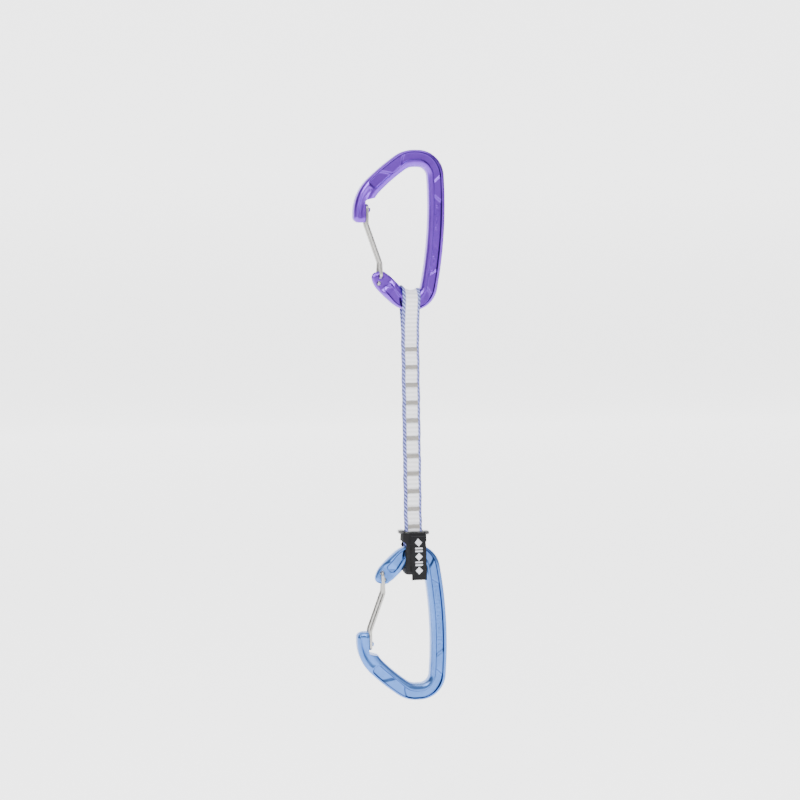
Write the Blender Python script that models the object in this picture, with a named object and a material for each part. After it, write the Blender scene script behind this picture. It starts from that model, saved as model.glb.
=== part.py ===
"""Climbing quickdraw: two forged wire-gate carabiners joined by a sewn sling.

Units are metres, +Z is up.  The origin is the hanger seat, the middle of the inner crown of
the upper carabiner, and everything hangs below it.  Both carabiners lie in the XZ plane with
their gates on the -X side, and the front of the object looks along -Y.
"""

import math
from dataclasses import dataclass

import bmesh
import bpy
from mathutils import Matrix, Vector

MM = 0.001

# ---------------------------------------------------------------- driving dimensions, in mm
# Centreline of the forging, from the nose tip over the crown, down the spine to the pivot.
# Each bend turns clockwise, seen from the front.
NOSE_LENGTH = 5.5
NOSE_RADIUS, NOSE_SWEEP = 24.0, 45.0
ARM_RADIUS, ARM_SWEEP = 125.0, 10.0
CROWN_RADIUS, CROWN_SWEEP = 15.0, 35.0
SEAT_LENGTH = 2.6
SHOULDER_RADIUS, SHOULDER_SWEEP = 11.0, 86.0
SPINE_RADIUS, SPINE_SWEEP = 270.0, 14.6
HEEL_RADIUS, HEEL_SWEEP = 11.0, 79.4
BASKET_RADIUS, BASKET_SWEEP = 13.3, 45.0
PIVOT_ARM_LENGTH = 12.0
PIVOT_RADIUS, PIVOT_SWEEP = 14.0, 30.0

# Section of the forging: width in the plane of the ring, depth across it, rim rounding.
SPINE_WIDTH, SPINE_DEPTH, SPINE_RIM = 10.3, 8.6, 2.4
BOW_WIDTH, BOW_DEPTH, BOW_RIM = 10.6, 9.6, 3.6
NOSE_WIDTH, NOSE_DEPTH, NOSE_RIM = 10.9, 10.4, 2.6
PIVOT_WIDTH, PIVOT_DEPTH, PIVOT_RIM = 7.0, 4.6, 1.2
ARM_WIDTH = 11.6
END_ROUNDING = 2.6
GATE_RECESS = 10.4
SHOULDER_RAMP = 2.2

# Pocket that makes the I-section, on both sides of the forging.
POCKET_DEPTH = 1.5
POCKET_WALL_SLOPE = 0.45
SPINE_POCKET = (-2.2, 2.6)
BOW_POCKET = (-1.2, 3.7)
HEEL_POCKET = (-0.6, 3.9)
FLUTE_DEPTH = 0.55
PAD_HEIGHT = 0.75
PAD_HALF_LENGTH = 2.9
PAD_SLANT = 0.84
PAD_RAMP = 1.3
FLUTE = (-2.0, 2.4)
POCKET_STOP = 1.6

# Gate wire and what it fits.
WIRE_DIAMETER = 2.1
WIRE_SPREAD = 7.4
WIRE_SIDES = 10
GATE_SPLIT = 3.0
TONGUE_DEPTH = 3.8
TONGUE_REACH = 3.5
TONGUE_HEIGHT = 4.6
TONGUE_ROOT = 1.5
TONGUE_TIP = 2.0
TONGUE_TAPER = 1.2
CROSSBAR_DROP = 3.3
PIVOT_HOLE_INSET = 3.4
PIVOT_HOLE_SHIFT = -0.9
HOLE_OFFSET = (-1.2, -4.2)
HOLE_SIDES = 16
NOTCH_SETBACK = 3.9
NOTCH_RISE = 8.2
NOTCH_REACH = 12.0
NOTCH_CORNER = 0.8
NOTCH_SLOPE_RUN, NOTCH_SLOPE_RISE = 5.4, 1.2
LEG_KNEE_SHARE = 0.22
LEG_KNEE_SHIFT = 0.2
LEG_FOOT_RISE = 7.0
LEG_FOOT_SHIFT = 0.9
FIT = 0.3

# Place of the lower carabiner and of the upper eye across the sling.
LOWER_X = 1.9
UPPER_EYE_X = -3.6

# Sling.
SLING_SWING = 90.0
WEBBING_WIDTH = 11.0
WEBBING_THICKNESS = 2.0
AXIS_TO_AXIS = 155.7
SLING_LEAN = 2.5
UPPER_NECK, LOWER_NECK = 17.0, 14.5
EYE_FIT = 0.5
EYE_STEPS, WIDTH_STEPS, NECK_STEPS = 10, 6, 4
FLOOR_STEP = 0.4
FLOOR_SAMPLES = 160
UPRIGHT = 90.0
TACK_COUNT = 11
TACK_PITCH = 11.0
TACK_CLEARANCE = 4.0
TACK_HEIGHT = 2.8
TACK_WIDTH = 7.0
TACK_RAISE = 0.5
TACK_RIBS = 5
TACK_VALLEY = 0.55
STITCH_SIZE = 0.8

# Keeper on the lower eye.
KEEPER_SWING = 20.0
SLEEVE_WALL = 0.6
SLEEVE_WIDTH = 15.7
SLEEVE_RISE = 12.7
SLEEVE_TAPER = 1.6
SLEEVE_CORNER = 2.4
SLEEVE_EDGE = 1.6
KEEPER_SHIFT = -3.0
WINDOW_CLEARANCE = 2.6
BRIDGE_CLEARANCE = 0.5
RUBBER_HEIGHT = 4.4
RUBBER_WALL = 1.0
RUBBER_EDGE = 1.2
RUBBER_INNER_EDGE = 0.8
RUBBER_RISE = 1.2
EAR_SIZE = 2.6
EAR_RISE = 1.1
LABEL_WIDTH = 9.4
LABEL_LENGTH = 28.0
LABEL_THICKNESS = 0.5
LABEL_SHIFT = 1.6
LABEL_DROP = 0.6
STITCH_ROW_WIDTH = 8.0
STITCH_ROW_DROP = 2.6
STITCH_COUNT = 6
STITCH_RISE = 0.35
STITCH_VALLEY = 0.12


def material(name, colour, roughness, metallic=0.0):
    """Return a Principled BSDF material."""
    mat = bpy.data.materials.new(name)
    mat.use_nodes = True
    shader = mat.node_tree.nodes["Principled BSDF"]
    shader.inputs["Base Color"].default_value = (*colour, 1.0)
    shader.inputs["Roughness"].default_value = roughness
    shader.inputs["Metallic"].default_value = metallic
    mat.diffuse_color = (*colour, 1.0)
    return mat


def mesh_object(name, verts, faces, mat=None, smooth_angle=None):
    """Make an object from points in millimetres and faces that look out."""
    mesh = bpy.data.meshes.new(name)
    mesh.from_pydata([Vector(p) * MM for p in verts], [], faces)
    bm = bmesh.new()
    bm.from_mesh(mesh)
    bmesh.ops.recalc_face_normals(bm, faces=bm.faces)
    bm.to_mesh(mesh)
    bm.free()
    if mat is not None:
        mesh.materials.append(mat)
    if smooth_angle is not None:
        mesh.shade_smooth()
        mesh.set_sharp_from_angle(angle=math.radians(smooth_angle))
    obj = bpy.data.objects.new(name, mesh)
    bpy.context.scene.collection.objects.link(obj)
    return obj


def ring_loft(rings, closed=False):
    """Skin a list of equal rings; the ends are capped unless the loft is closed."""
    count = len(rings[0])
    verts = [p for ring in rings for p in ring]
    faces = []
    steps = len(rings) if closed else len(rings) - 1
    for i in range(steps):
        a, b = i * count, ((i + 1) % len(rings)) * count
        for j in range(count):
            k = (j + 1) % count
            faces.append((a + j, a + k, b + k, b + j))
    if not closed:
        faces.append(tuple(range(count)))
        faces.append(tuple(range(len(verts) - count, len(verts))))
    return verts, faces


def prism(name, outline, y_low, y_high):
    """Extrude an outline in the XZ plane from y_low to y_high."""
    rings = [[(x, y, z) for x, z in outline] for y in (y_low, y_high)]
    return mesh_object(name, *ring_loft(rings))


def block(name, low, high):
    """A box between two corners."""
    outline = [(low[0], low[2]), (high[0], low[2]), (high[0], high[2]), (low[0], high[2])]
    return prism(name, outline, low[1], high[1])


def cutter(obj):
    """Mark an object as a guide that is not part of the model."""
    obj.hide_render = True
    obj.display_type = "WIRE"
    return obj


def boolean(obj, operand, operation):
    """Add an exact Boolean to an object."""
    mod = obj.modifiers.new(operand.name, "BOOLEAN")
    mod.object = operand
    mod.operation = operation
    mod.solver = "EXACT"


def smoothstep(x):
    """Ease from 0 to 1 as x goes from 0 to 1."""
    x = min(max(x, 0.0), 1.0)
    return x * x * (3.0 - 2.0 * x)


# ------------------------------------------------------------------------- the forged ring
@dataclass
class Bend:
    """A stretch of the centreline: straight if the sweep is zero, else a clockwise arc."""

    name: str
    size: float
    sweep: float = 0.0

    @property
    def length(self):
        """Length along the centreline."""
        return self.size if self.sweep == 0.0 else self.size * math.radians(self.sweep)


BENDS = (
    Bend("nose", NOSE_LENGTH),
    Bend("nose_bend", NOSE_RADIUS, NOSE_SWEEP),
    Bend("arm", ARM_RADIUS, ARM_SWEEP),
    Bend("crown", CROWN_RADIUS, CROWN_SWEEP),
    Bend("seat", SEAT_LENGTH),
    Bend("shoulder", SHOULDER_RADIUS, SHOULDER_SWEEP),
    Bend("spine", SPINE_RADIUS, SPINE_SWEEP),
    Bend("heel", HEEL_RADIUS, HEEL_SWEEP),
    Bend("basket", BASKET_RADIUS, BASKET_SWEEP),
    Bend("pivot_arm", PIVOT_ARM_LENGTH),
    Bend("pivot", PIVOT_RADIUS, PIVOT_SWEEP),
)


class Centreline:
    """The centreline of the forging, with the hanger seat's middle at the origin."""

    def __init__(self):
        self.starts = {}
        self.shift = (0.0, 0.0)
        total = 0.0
        for bend in BENDS:
            self.starts[bend.name] = total
            total += bend.length
        self.length = total
        seat_x, seat_z, _ = self.at(self.place("seat", 0.5))
        self.shift = (-seat_x, BOW_WIDTH / 2 - seat_z)

    def place(self, name, share=0.0):
        """Distance along the centreline of a point in a named bend."""
        bend = next(b for b in BENDS if b.name == name)
        return self.starts[name] + share * bend.length

    def at(self, s):
        """Return x, z and heading (radians) at a distance along the centreline."""
        x, z, heading = self.shift[0], self.shift[1], math.pi / 2
        left = s
        for bend in BENDS:
            run = left if bend is BENDS[-1] else min(left, bend.length)
            if bend.sweep == 0.0:
                x += run * math.cos(heading)
                z += run * math.sin(heading)
            else:
                turn = run / bend.size
                x += bend.size * (math.sin(heading) - math.sin(heading - turn))
                z += bend.size * (math.cos(heading - turn) - math.cos(heading))
                heading -= turn
            left -= run
            if left <= 0.0:
                break
        return x, z, heading

    def offset(self, s, outward):
        """A point beside the centreline, away from the opening if outward is positive."""
        x, z, heading = self.at(s)
        return x - outward * math.sin(heading), z + outward * math.cos(heading)


LINE = Centreline()


def blend_table(s, table):
    """Ease between the rows (place, value, value, ...) of a table."""
    if s <= table[0][0]:
        return table[0][1:]
    for low, high in zip(table, table[1:]):
        if s <= high[0]:
            t = smoothstep((s - low[0]) / (high[0] - low[0]))
            return tuple(a + (b - a) * t for a, b in zip(low[1:], high[1:]))
    return table[-1][1:]


def section_table():
    """Width, depth and rim rounding along the ring."""
    at = LINE.place
    step = LINE.length - GATE_RECESS
    return (
        (at("nose"), NOSE_WIDTH, NOSE_DEPTH, NOSE_RIM),
        (at("nose_bend", 0.6), NOSE_WIDTH, NOSE_DEPTH, NOSE_RIM),
        (at("arm", 0.9), BOW_WIDTH, BOW_DEPTH, BOW_RIM),
        (at("shoulder", 0.3), BOW_WIDTH, BOW_DEPTH, BOW_RIM),
        (at("spine", 0.15), SPINE_WIDTH, SPINE_DEPTH, SPINE_RIM),
        (at("spine", 0.85), SPINE_WIDTH, SPINE_DEPTH, SPINE_RIM),
        (at("heel", 0.6), BOW_WIDTH, BOW_DEPTH, BOW_RIM),
        (at("basket", 0.6), BOW_WIDTH, BOW_DEPTH, BOW_RIM),
        (at("pivot_arm", 0.5), ARM_WIDTH, BOW_DEPTH, BOW_RIM),
        (step - SHOULDER_RAMP, ARM_WIDTH, BOW_DEPTH, BOW_RIM),
        (step, ARM_WIDTH, PIVOT_DEPTH, PIVOT_RIM),
        (LINE.length, PIVOT_WIDTH, PIVOT_DEPTH, PIVOT_RIM),
    )


POCKET_START = LINE.place("nose_bend", 0.93)
POCKET_END = LINE.length - GATE_RECESS - POCKET_STOP
FLUTE_START = LINE.place("nose", 0.45)
FLUTE_END = LINE.place("nose_bend", 0.72)


def pocket_table():
    """Inner and outer edge of the pocket, as offsets from the centreline."""
    at = LINE.place
    return (
        (POCKET_START, *BOW_POCKET),
        (at("seat"), *BOW_POCKET),
        (at("shoulder", 0.8), *SPINE_POCKET),
        (at("heel"), *SPINE_POCKET),
        (at("heel", 0.9), *HEEL_POCKET),
        (at("basket", 0.5), *HEEL_POCKET),
        (POCKET_END, *SPINE_POCKET),
    )


PAD_PLACES = (
    LINE.place("arm", 0.8),
    LINE.place("spine", 0.12),
    LINE.place("spine", 0.95),
    LINE.place("pivot_arm", 0.2),
)


def pad_reach(across):
    """Half length of a pad's top, which grows from the pocket's inner edge outwards."""
    return PAD_HALF_LENGTH + PAD_SLANT * across


def pocket_depth(s, across):
    """Depth of the pocket floor; pads with slanted ramps at both ends rise from it."""
    depth = POCKET_DEPTH
    for place in PAD_PLACES:
        away = (abs(s - place) - pad_reach(across)) / PAD_RAMP
        depth -= PAD_HEIGHT * (1.0 - min(max(away, 0.0), 1.0))
    return depth


def pocket_at(s):
    """Inner edge, outer edge and depths (inner, outer) of the hollow at a place."""
    if POCKET_START < s < POCKET_END:
        inner, outer = blend_table(s, pocket_table())
        start, end = POCKET_START, POCKET_END
        depths = (pocket_depth(s, 0.0), pocket_depth(s, outer - inner))
    elif FLUTE_START < s < FLUTE_END:
        inner, outer = FLUTE
        start, end = FLUTE_START, FLUTE_END
        depths = (FLUTE_DEPTH, FLUTE_DEPTH)
    else:
        return -0.6, 0.6, (0.0, 0.0)
    middle, half = (inner + outer) / 2, (outer - inner) / 2
    reach = min(s - start, end - s) / half
    if reach < 1.0:
        half *= math.sqrt(max(1.0 - (1.0 - reach) ** 2, 0.04))
    return middle - half, middle + half, depths


def end_scale(s):
    """Shrink of the section towards both ends of the ring, which makes the ends round."""
    reach = min(s, LINE.length - s) / END_ROUNDING
    if reach >= 1.0:
        return 0.0
    return END_ROUNDING * (1.0 - math.sqrt(1.0 - (1.0 - reach) ** 2))


def section_ring(s):
    """The I-shaped section at a place on the centreline, as points in space."""
    width, depth, rim = blend_table(s, section_table())
    trim = end_scale(s)
    half_w, half_d = width / 2 - trim, depth / 2 - min(trim, 0.8 * PIVOT_DEPTH / 2)
    rim = min(rim, half_d * 0.8, half_w * 0.8)
    inner, outer, depths = pocket_at(s)
    flat = half_w - rim - 0.15
    inner, outer = max(inner, -flat), min(outer, flat)
    slope = min(POCKET_WALL_SLOPE, (outer - inner) * 0.3)
    corners = [math.radians(a) for a in (0, 30, 60, 90)]
    half = [(half_w - rim + rim * math.cos(a), half_d - rim + rim * math.sin(a)) for a in corners]
    half += [(outer, half_d), (outer - slope, half_d - depths[1])]
    half += [(inner + slope, half_d - depths[0]), (inner, half_d)]
    half += [(-half_w + rim - rim * math.sin(a), half_d - rim + rim * math.cos(a)) for a in corners]
    ring = [(n, -y) for n, y in half] + [(n, y) for n, y in reversed(half)]
    points = []
    for outward, y in ring:
        x, z = LINE.offset(s, outward)
        points.append((x, y, z))
    return points


def ring_places():
    """Where the sections stand: close in bends, at pads and at the ends of the hollows."""
    places = {0.0, LINE.length}
    for bend in BENDS:
        steps = max(1, math.ceil(bend.sweep / 11.0), math.ceil(bend.length / 7.0))
        places.update(LINE.place(bend.name, i / steps) for i in range(steps + 1))
    for share in (0.03, 0.15, 0.4, 0.7):
        places.add(share * END_ROUNDING)
        places.add(LINE.length - share * END_ROUNDING)
    for start, end in ((POCKET_START, POCKET_END), (FLUTE_START, FLUTE_END)):
        for away in (0.0, 0.02, 0.35, 1.0, 2.2):
            places.update((start + away, end - away))
    for place in PAD_PLACES:
        for across in (0.0, BOW_POCKET[1] - BOW_POCKET[0]):
            near = pad_reach(across)
            far = near + PAD_RAMP
            places.update(place + a for a in (-far, -near, near, far) if place + a < POCKET_END)
    step = LINE.length - GATE_RECESS
    places.update((step - SHOULDER_RAMP, step - SHOULDER_RAMP / 2, step))
    kept = []
    for place in sorted(places):
        if not kept or place - kept[-1] > 0.015:
            kept.append(place)
    return kept


# ------------------------------------------------------------------ gate, in the same plane
WIRE_RADIUS = WIRE_DIAMETER / 2
NOSE_FACE = LINE.offset(LINE.place("nose", 0.5), -NOSE_WIDTH / 2)[0] - NOTCH_SETBACK
NOTCH_TOP = LINE.at(LINE.place("nose_bend"))[1] + NOTCH_RISE
CROSSBAR = (NOSE_FACE + FIT + WIRE_RADIUS, NOTCH_TOP - CROSSBAR_DROP)
PIVOT_HOLE = LINE.offset(LINE.length - PIVOT_HOLE_INSET, PIVOT_HOLE_SHIFT)
SPRING_HOLE = (PIVOT_HOLE[0] + HOLE_OFFSET[0], PIVOT_HOLE[1] + HOLE_OFFSET[1])


def rounded_route(corners, radii):
    """Points of a bent wire: straight runs with an arc of the given radius at each corner."""
    points = [Vector(corners[0])]
    for before, here, after, radius in zip(corners, corners[1:], corners[2:], radii):
        here = Vector(here)
        back = (Vector(before) - here).normalized()
        ahead = (Vector(after) - here).normalized()
        angle = back.angle(ahead)
        away = radius / math.tan(angle / 2)
        centre = here + (back + ahead).normalized() * (radius / math.sin(angle / 2))
        start, end = here + back * away, here + ahead * away
        steps = max(2, math.ceil(math.degrees(math.pi - angle) / 18.0))
        for i in range(steps + 1):
            spoke = (start - centre).slerp(end - centre, i / steps).normalized()
            points.append(centre + spoke * radius)
    points.append(Vector(corners[-1]))
    return points


def wire_rings(route, radius, sides):
    """Round sections along a route, without twist."""
    rings = []
    side = None
    for i, point in enumerate(route):
        before = route[max(i - 1, 0)]
        after = route[min(i + 1, len(route) - 1)]
        ahead = (after - before).normalized()
        if side is None:
            side = ahead.orthogonal().normalized()
        side = (side - ahead * side.dot(ahead)).normalized()
        up = ahead.cross(side)
        turns = [2 * math.pi * k / sides for k in range(sides)]
        rings.append([point + radius * (math.cos(t) * side + math.sin(t) * up) for t in turns])
    return rings


def leg_corners(y, foot):
    """Corners of one gate leg from the crossbar to its foot, in mm."""
    top_x, top_z = CROSSBAR
    drop = top_z - foot[1]
    return [
        (top_x, y, top_z),
        (top_x - LEG_KNEE_SHIFT, y, top_z - LEG_KNEE_SHARE * drop),
        (foot[0] - LEG_FOOT_SHIFT, y, foot[1] + LEG_FOOT_RISE),
        (foot[0], y, foot[1]),
    ]


def gate_wire():
    """The gate loop: pin in the pivot hole, near leg, crossbar, far leg down to the split."""
    near, far = -WIRE_SPREAD / 2, WIRE_SPREAD / 2
    near_leg = leg_corners(near, PIVOT_HOLE)
    far_leg = leg_corners(far, PIVOT_HOLE)
    pin_end = (PIVOT_HOLE[0], PIVOT_DEPTH / 2 - 0.2, PIVOT_HOLE[1])
    foot = Vector(far_leg[2])
    stop = foot + (Vector(far_leg[1]) - foot).normalized() * GATE_SPLIT
    corners = [pin_end] + near_leg[::-1] + far_leg[:2] + [tuple(stop)]
    radii = [1.2, 3.0, 7.0, 1.6, 1.6, 7.0]
    return ring_loft(wire_rings(rounded_route(corners, radii), WIRE_RADIUS, WIRE_SIDES))


def spring_end():
    """The end of the far leg, bent into the offset hole."""
    far_leg = leg_corners(WIRE_SPREAD / 2, PIVOT_HOLE)
    foot = Vector(far_leg[2])
    along = (Vector(far_leg[1]) - foot).normalized()
    start = foot + along * (GATE_SPLIT - FIT)
    low = (SPRING_HOLE[0], WIRE_SPREAD / 2, SPRING_HOLE[1])
    pin_end = (SPRING_HOLE[0], -PIVOT_DEPTH / 2 + 0.2, SPRING_HOLE[1])
    route = rounded_route([tuple(start), tuple(foot), low, pin_end], [3.0, 1.2])
    return ring_loft(wire_rings(route, WIRE_RADIUS, WIRE_SIDES))


def to_place(points, flipped):
    """Move points of the carabiner's own frame to the upper or the lower place."""
    if not flipped:
        return points
    return [(LOWER_X + x, -y, LOWER_Z - z) for x, y, z in points]


BASKET_AXIS = LINE.at(LINE.place("basket"))[:2]
UPPER_AXIS_Z = BASKET_AXIS[1]
LOWER_AXIS_Z = UPPER_AXIS_Z - AXIS_TO_AXIS
LOWER_Z = LOWER_AXIS_Z + BASKET_AXIS[1]


def carabiner(prefix, flipped, anodised, steel):
    """One carabiner: the forged body, the gate loop and its spring end."""
    verts, faces = ring_loft([section_ring(s) for s in ring_places()])
    body = mesh_object(f"{prefix}_carabiner_body", to_place(verts, flipped), faces, anodised, 40)

    def tool(name, outline, half_depth):
        rings = [[(x, y, z) for x, z in outline] for y in (-half_depth, half_depth)]
        verts, faces = ring_loft(rings)
        return cutter(mesh_object(f"{prefix}_{name}_tool", to_place(verts, flipped), faces))

    inner = NOSE_FACE + NOTCH_REACH
    low = LINE.at(0.0)[1] - NOTCH_SETBACK
    roof = NOTCH_TOP + NOTCH_SLOPE_RISE
    notch = [(NOSE_FACE, low), (inner, low), (inner, roof), (NOSE_FACE + NOTCH_SLOPE_RUN, roof)]
    notch += [(NOSE_FACE + NOTCH_CORNER, NOTCH_TOP), (NOSE_FACE, NOTCH_TOP - NOTCH_CORNER)]
    boolean(body, tool("notch", notch, NOSE_DEPTH), "DIFFERENCE")
    top = CROSSBAR[1] - WIRE_RADIUS - FIT
    tip = NOSE_FACE + TONGUE_REACH
    root, heel = NOSE_FACE - TONGUE_ROOT, top - TONGUE_HEIGHT
    tongue = [(root, top), (tip, top), (tip, top - TONGUE_TIP)]
    tongue += [(NOSE_FACE + TONGUE_TAPER, heel), (root, heel)]
    boolean(body, tool("tongue", tongue, TONGUE_DEPTH / 2), "UNION")
    for name, centre in (("pivot_hole", PIVOT_HOLE), ("spring_hole", SPRING_HOLE)):
        turns = [2 * math.pi * k / HOLE_SIDES for k in range(HOLE_SIDES)]
        radius = WIRE_RADIUS + FIT
        circle = [(centre[0] + radius * math.cos(t), centre[1] + radius * math.sin(t)) for t in turns]
        boolean(body, tool(name, circle, NOSE_DEPTH), "DIFFERENCE")

    pivot = to_place([(PIVOT_HOLE[0], 0.0, PIVOT_HOLE[1])], flipped)[0]
    for name, make in (("gate_wire", gate_wire), ("gate_spring_end", spring_end)):
        verts, faces = make()
        verts = [tuple(v) for v in verts]
        piece = mesh_object(f"{prefix}_{name}", to_place(verts, flipped), faces, steel, 60)
        set_origin(piece, pivot)
    return body


def set_origin(obj, point):
    """Put an object's origin at a point in mm and keep its mesh where it is."""
    place = Vector(point) * MM
    obj.data.transform(Matrix.Translation(-place))
    obj.location = place


# --------------------------------------------------------------------------------- the sling
UPPER_EYE = Vector((UPPER_EYE_X, 0.0, UPPER_AXIS_Z))
LOWER_EYE = Vector((UPPER_EYE_X + SLING_LEAN, 0.0, LOWER_AXIS_Z))
PLY_GAP = FIT


def basket_floor():
    """Points of the basket's inner surface, from the spine side to the gate side."""
    first, last = LINE.place("heel", 0.2), LINE.place("pivot_arm", 0.8)
    places = [first + (last - first) * k / FLOOR_SAMPLES for k in range(FLOOR_SAMPLES + 1)]
    return [LINE.offset(s, -blend_table(s, section_table())[0] / 2) for s in places]


FLOOR = basket_floor()


def basket_lift(x_local):
    """Rise of the basket's inner surface above its bottom, at a local x."""
    heights = [z for x, z in FLOOR if abs(x - x_local) < FLOOR_STEP]
    return max(heights) - (BASKET_AXIS[1] + BOW_WIDTH / 2)


def bar_reach(lift):
    """Largest distance of the basket's rounded section from the eye's axis."""
    core = (BOW_DEPTH / 2 - BOW_RIM, lift + BOW_WIDTH / 2 - BOW_RIM)
    return math.hypot(*core) + BOW_RIM


def eye_circle(lift, swing):
    """Height of the centre and radius of the webbing's inner circle round the bar."""
    if swing >= UPRIGHT:
        return 0.0, bar_reach(lift) + EYE_FIT
    sideways = 2.0 * lift * math.sin(math.radians(swing / 2))
    return lift, bar_reach(0.0) + sideways + EYE_FIT


def strand(lift, swing, neck_length, outward):
    """Half profile of one eye: (depth, height) from the top of the eye down to the neck.

    The height runs from the eye's axis towards the eye's end.  outward is zero on the inner
    face of the webbing and the webbing's thickness on its outer face.
    """
    centre, radius = eye_circle(lift, swing)
    radius += outward
    neck = PLY_GAP / 2 + outward
    tilt = math.asin(min((radius - neck) / math.hypot(neck_length + centre, radius), 1.0))
    points = []
    for i in range(EYE_STEPS + 1):
        angle = (math.pi / 2 + tilt) * i / EYE_STEPS
        points.append((radius * math.sin(angle), centre + radius * math.cos(angle)))
    low_y, low_z = points[-1]
    for i in range(1, NECK_STEPS + 1):
        t = i / NECK_STEPS
        points.append((low_y + (neck - low_y) * t, low_z + (-neck_length - low_z) * t))
    return points


def sling_centre(z):
    """x of the sling's middle line at a height."""
    share = (UPPER_AXIS_Z - z) / AXIS_TO_AXIS
    return UPPER_EYE_X + SLING_LEAN * share


def webbing_layer(across, outward):
    """One closed line round the whole sling, at a place across its width."""
    upper_x = UPPER_EYE.x + across
    lower_x = LOWER_EYE.x + across
    upper = strand(basket_lift(upper_x), SLING_SWING, UPPER_NECK, outward)
    lower = strand(basket_lift(lower_x - LOWER_X), KEEPER_SWING, LOWER_NECK, outward)
    front = [(-y, UPPER_AXIS_Z + h) for y, h in upper]
    front += [(-y, LOWER_AXIS_Z - h) for y, h in reversed(lower)]
    back = [(-y, z) for y, z in reversed(front[1:-1])]
    return [(sling_centre(z) + across, y, z) for y, z in front + back]


def webbing(mat):
    """The sling: one closed loop of webbing whose plies lie together between the eyes."""
    spread = [WEBBING_WIDTH * (k / WIDTH_STEPS - 0.5) for k in range(WIDTH_STEPS + 1)]
    layers = [webbing_layer(x, 0.0) for x in spread]
    layers += [webbing_layer(x, WEBBING_THICKNESS) for x in reversed(spread)]
    count = len(layers[0])
    rings = [[layer[i] for layer in layers] for i in range(count)]
    body = mesh_object("sling_webbing", *ring_loft(rings, closed=True), mat, 50)
    for index in range(TACK_COUNT):
        for side in (-1, 1):
            hole = stitch_post(f"stitch_hole_{index}_{side}", index, side, FIT)
            boolean(body, cutter(hole), "DIFFERENCE")
    return body


def tack_height(index):
    """z of a bar tack, counted from the top; the last one stands just above the sleeve."""
    return SLEEVE_TOP + TACK_CLEARANCE + (TACK_COUNT - 1 - index) * TACK_PITCH


def stitch_post(name, index, side, gap):
    """The square run of thread that goes through both plies at one end of a tack."""
    z = tack_height(index)
    x = sling_centre(z) + side * (TACK_WIDTH / 2 - STITCH_SIZE)
    half = STITCH_SIZE / 2 + gap
    deep = PLY_GAP / 2 + WEBBING_THICKNESS + FIT + TACK_RAISE / 2
    return block(name, (x - half, -deep, z - half), (x + half, deep, z + half))


def bar_tack(index, mat):
    """A bar tack: a ribbed pad of thread on both faces, joined through the webbing."""
    z = tack_height(index)
    x = sling_centre(z)
    face = PLY_GAP / 2 + WEBBING_THICKNESS + FIT
    outline = []
    for k in range(2 * TACK_RIBS + 1):
        rise = TACK_RAISE if k % 2 else TACK_RAISE * TACK_VALLEY
        outline.append((x - TACK_WIDTH / 2 + TACK_WIDTH * k / (2 * TACK_RIBS), rise))
    low_z, high_z = z - TACK_HEIGHT / 2, z + TACK_HEIGHT / 2
    pads = []
    for side in (-1, 1):
        profile = [(px, side * (face + rise)) for px, rise in outline]
        profile += [(outline[-1][0], side * face), (outline[0][0], side * face)]
        rings = [[(px, py, level) for px, py in profile] for level in (low_z, high_z)]
        pads.append(mesh_object(f"bar_tack_{index + 1:02d}", *ring_loft(rings), mat))
    front, back = pads
    for side in (-1, 1):
        boolean(front, cutter(stitch_post(f"stitch_post_{index}_{side}", index, side, 0.0)), "UNION")
    back.name = f"tack_back_{index}"
    boolean(front, cutter(back), "UNION")
    front.name = f"bar_tack_{index + 1:02d}"
    return front


# -------------------------------------------------------------------------------- the keeper
KEEPER_X = LOWER_X + KEEPER_SHIFT
CAVITY_DEPTH = max(
    eye_circle(basket_lift(LOWER_EYE.x - LOWER_X + side * WEBBING_WIDTH / 2), KEEPER_SWING)[1]
    for side in (-1, 1)
) + WEBBING_THICKNESS + FIT
EYE_END = max(
    sum(eye_circle(basket_lift(LOWER_EYE.x - LOWER_X + side * WEBBING_WIDTH / 2), KEEPER_SWING))
    for side in (-1, 1)
) + WEBBING_THICKNESS
SLEEVE_TOP = LOWER_AXIS_Z + SLEEVE_RISE
SLEEVE_FLOOR = LOWER_AXIS_Z - EYE_END - FIT
SLEEVE_BOTTOM = SLEEVE_FLOOR - SLEEVE_WALL
SLEEVE_FRONT = -(CAVITY_DEPTH + SLEEVE_WALL)
LABEL_X = KEEPER_X + LABEL_SHIFT


def rounded_box_outline(half_x, half_y, corner):
    """Counter-clockwise outline of a rounded rectangle."""
    points = []
    for turn, sx, sy in ((0, 1, 1), (90, -1, 1), (180, -1, -1), (270, 1, -1)):
        for step in (0, 30, 60, 90):
            angle = math.radians(turn + step)
            points.append((
                sx * (half_x - corner) + corner * math.cos(angle),
                sy * (half_y - corner) + corner * math.sin(angle),
            ))
    return points


def upright_prism(name, outline, centre_x, z_low, z_high, mat=None):
    """Extrude an outline in the XY plane."""
    rings = [[(centre_x + x, y, z) for x, y in outline] for z in (z_low, z_high)]
    return mesh_object(name, *ring_loft(rings), mat)


def sleeve_outline():
    """Front outline of the sleeve: straight sides that taper below the bar, round corners."""
    half = SLEEVE_WIDTH / 2
    waist = LOWER_AXIS_Z + SLEEVE_TAPER
    points = []
    for side in (1, -1):
        bottom = half - SLEEVE_TAPER
        corner = []
        for turn in (90, 60, 30, 0):
            inward = SLEEVE_CORNER * (1.0 - math.cos(math.radians(turn)))
            upward = SLEEVE_CORNER * (1.0 - math.sin(math.radians(turn)))
            corner.append((bottom - inward, SLEEVE_BOTTOM + upward))
        run = corner + [(bottom, LOWER_AXIS_Z - SLEEVE_TAPER), (half, waist), (half, SLEEVE_TOP + 1.0)]
        run = [(KEEPER_X + side * x, z) for x, z in run]
        points += run if side == 1 else run[::-1]
    return points


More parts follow.
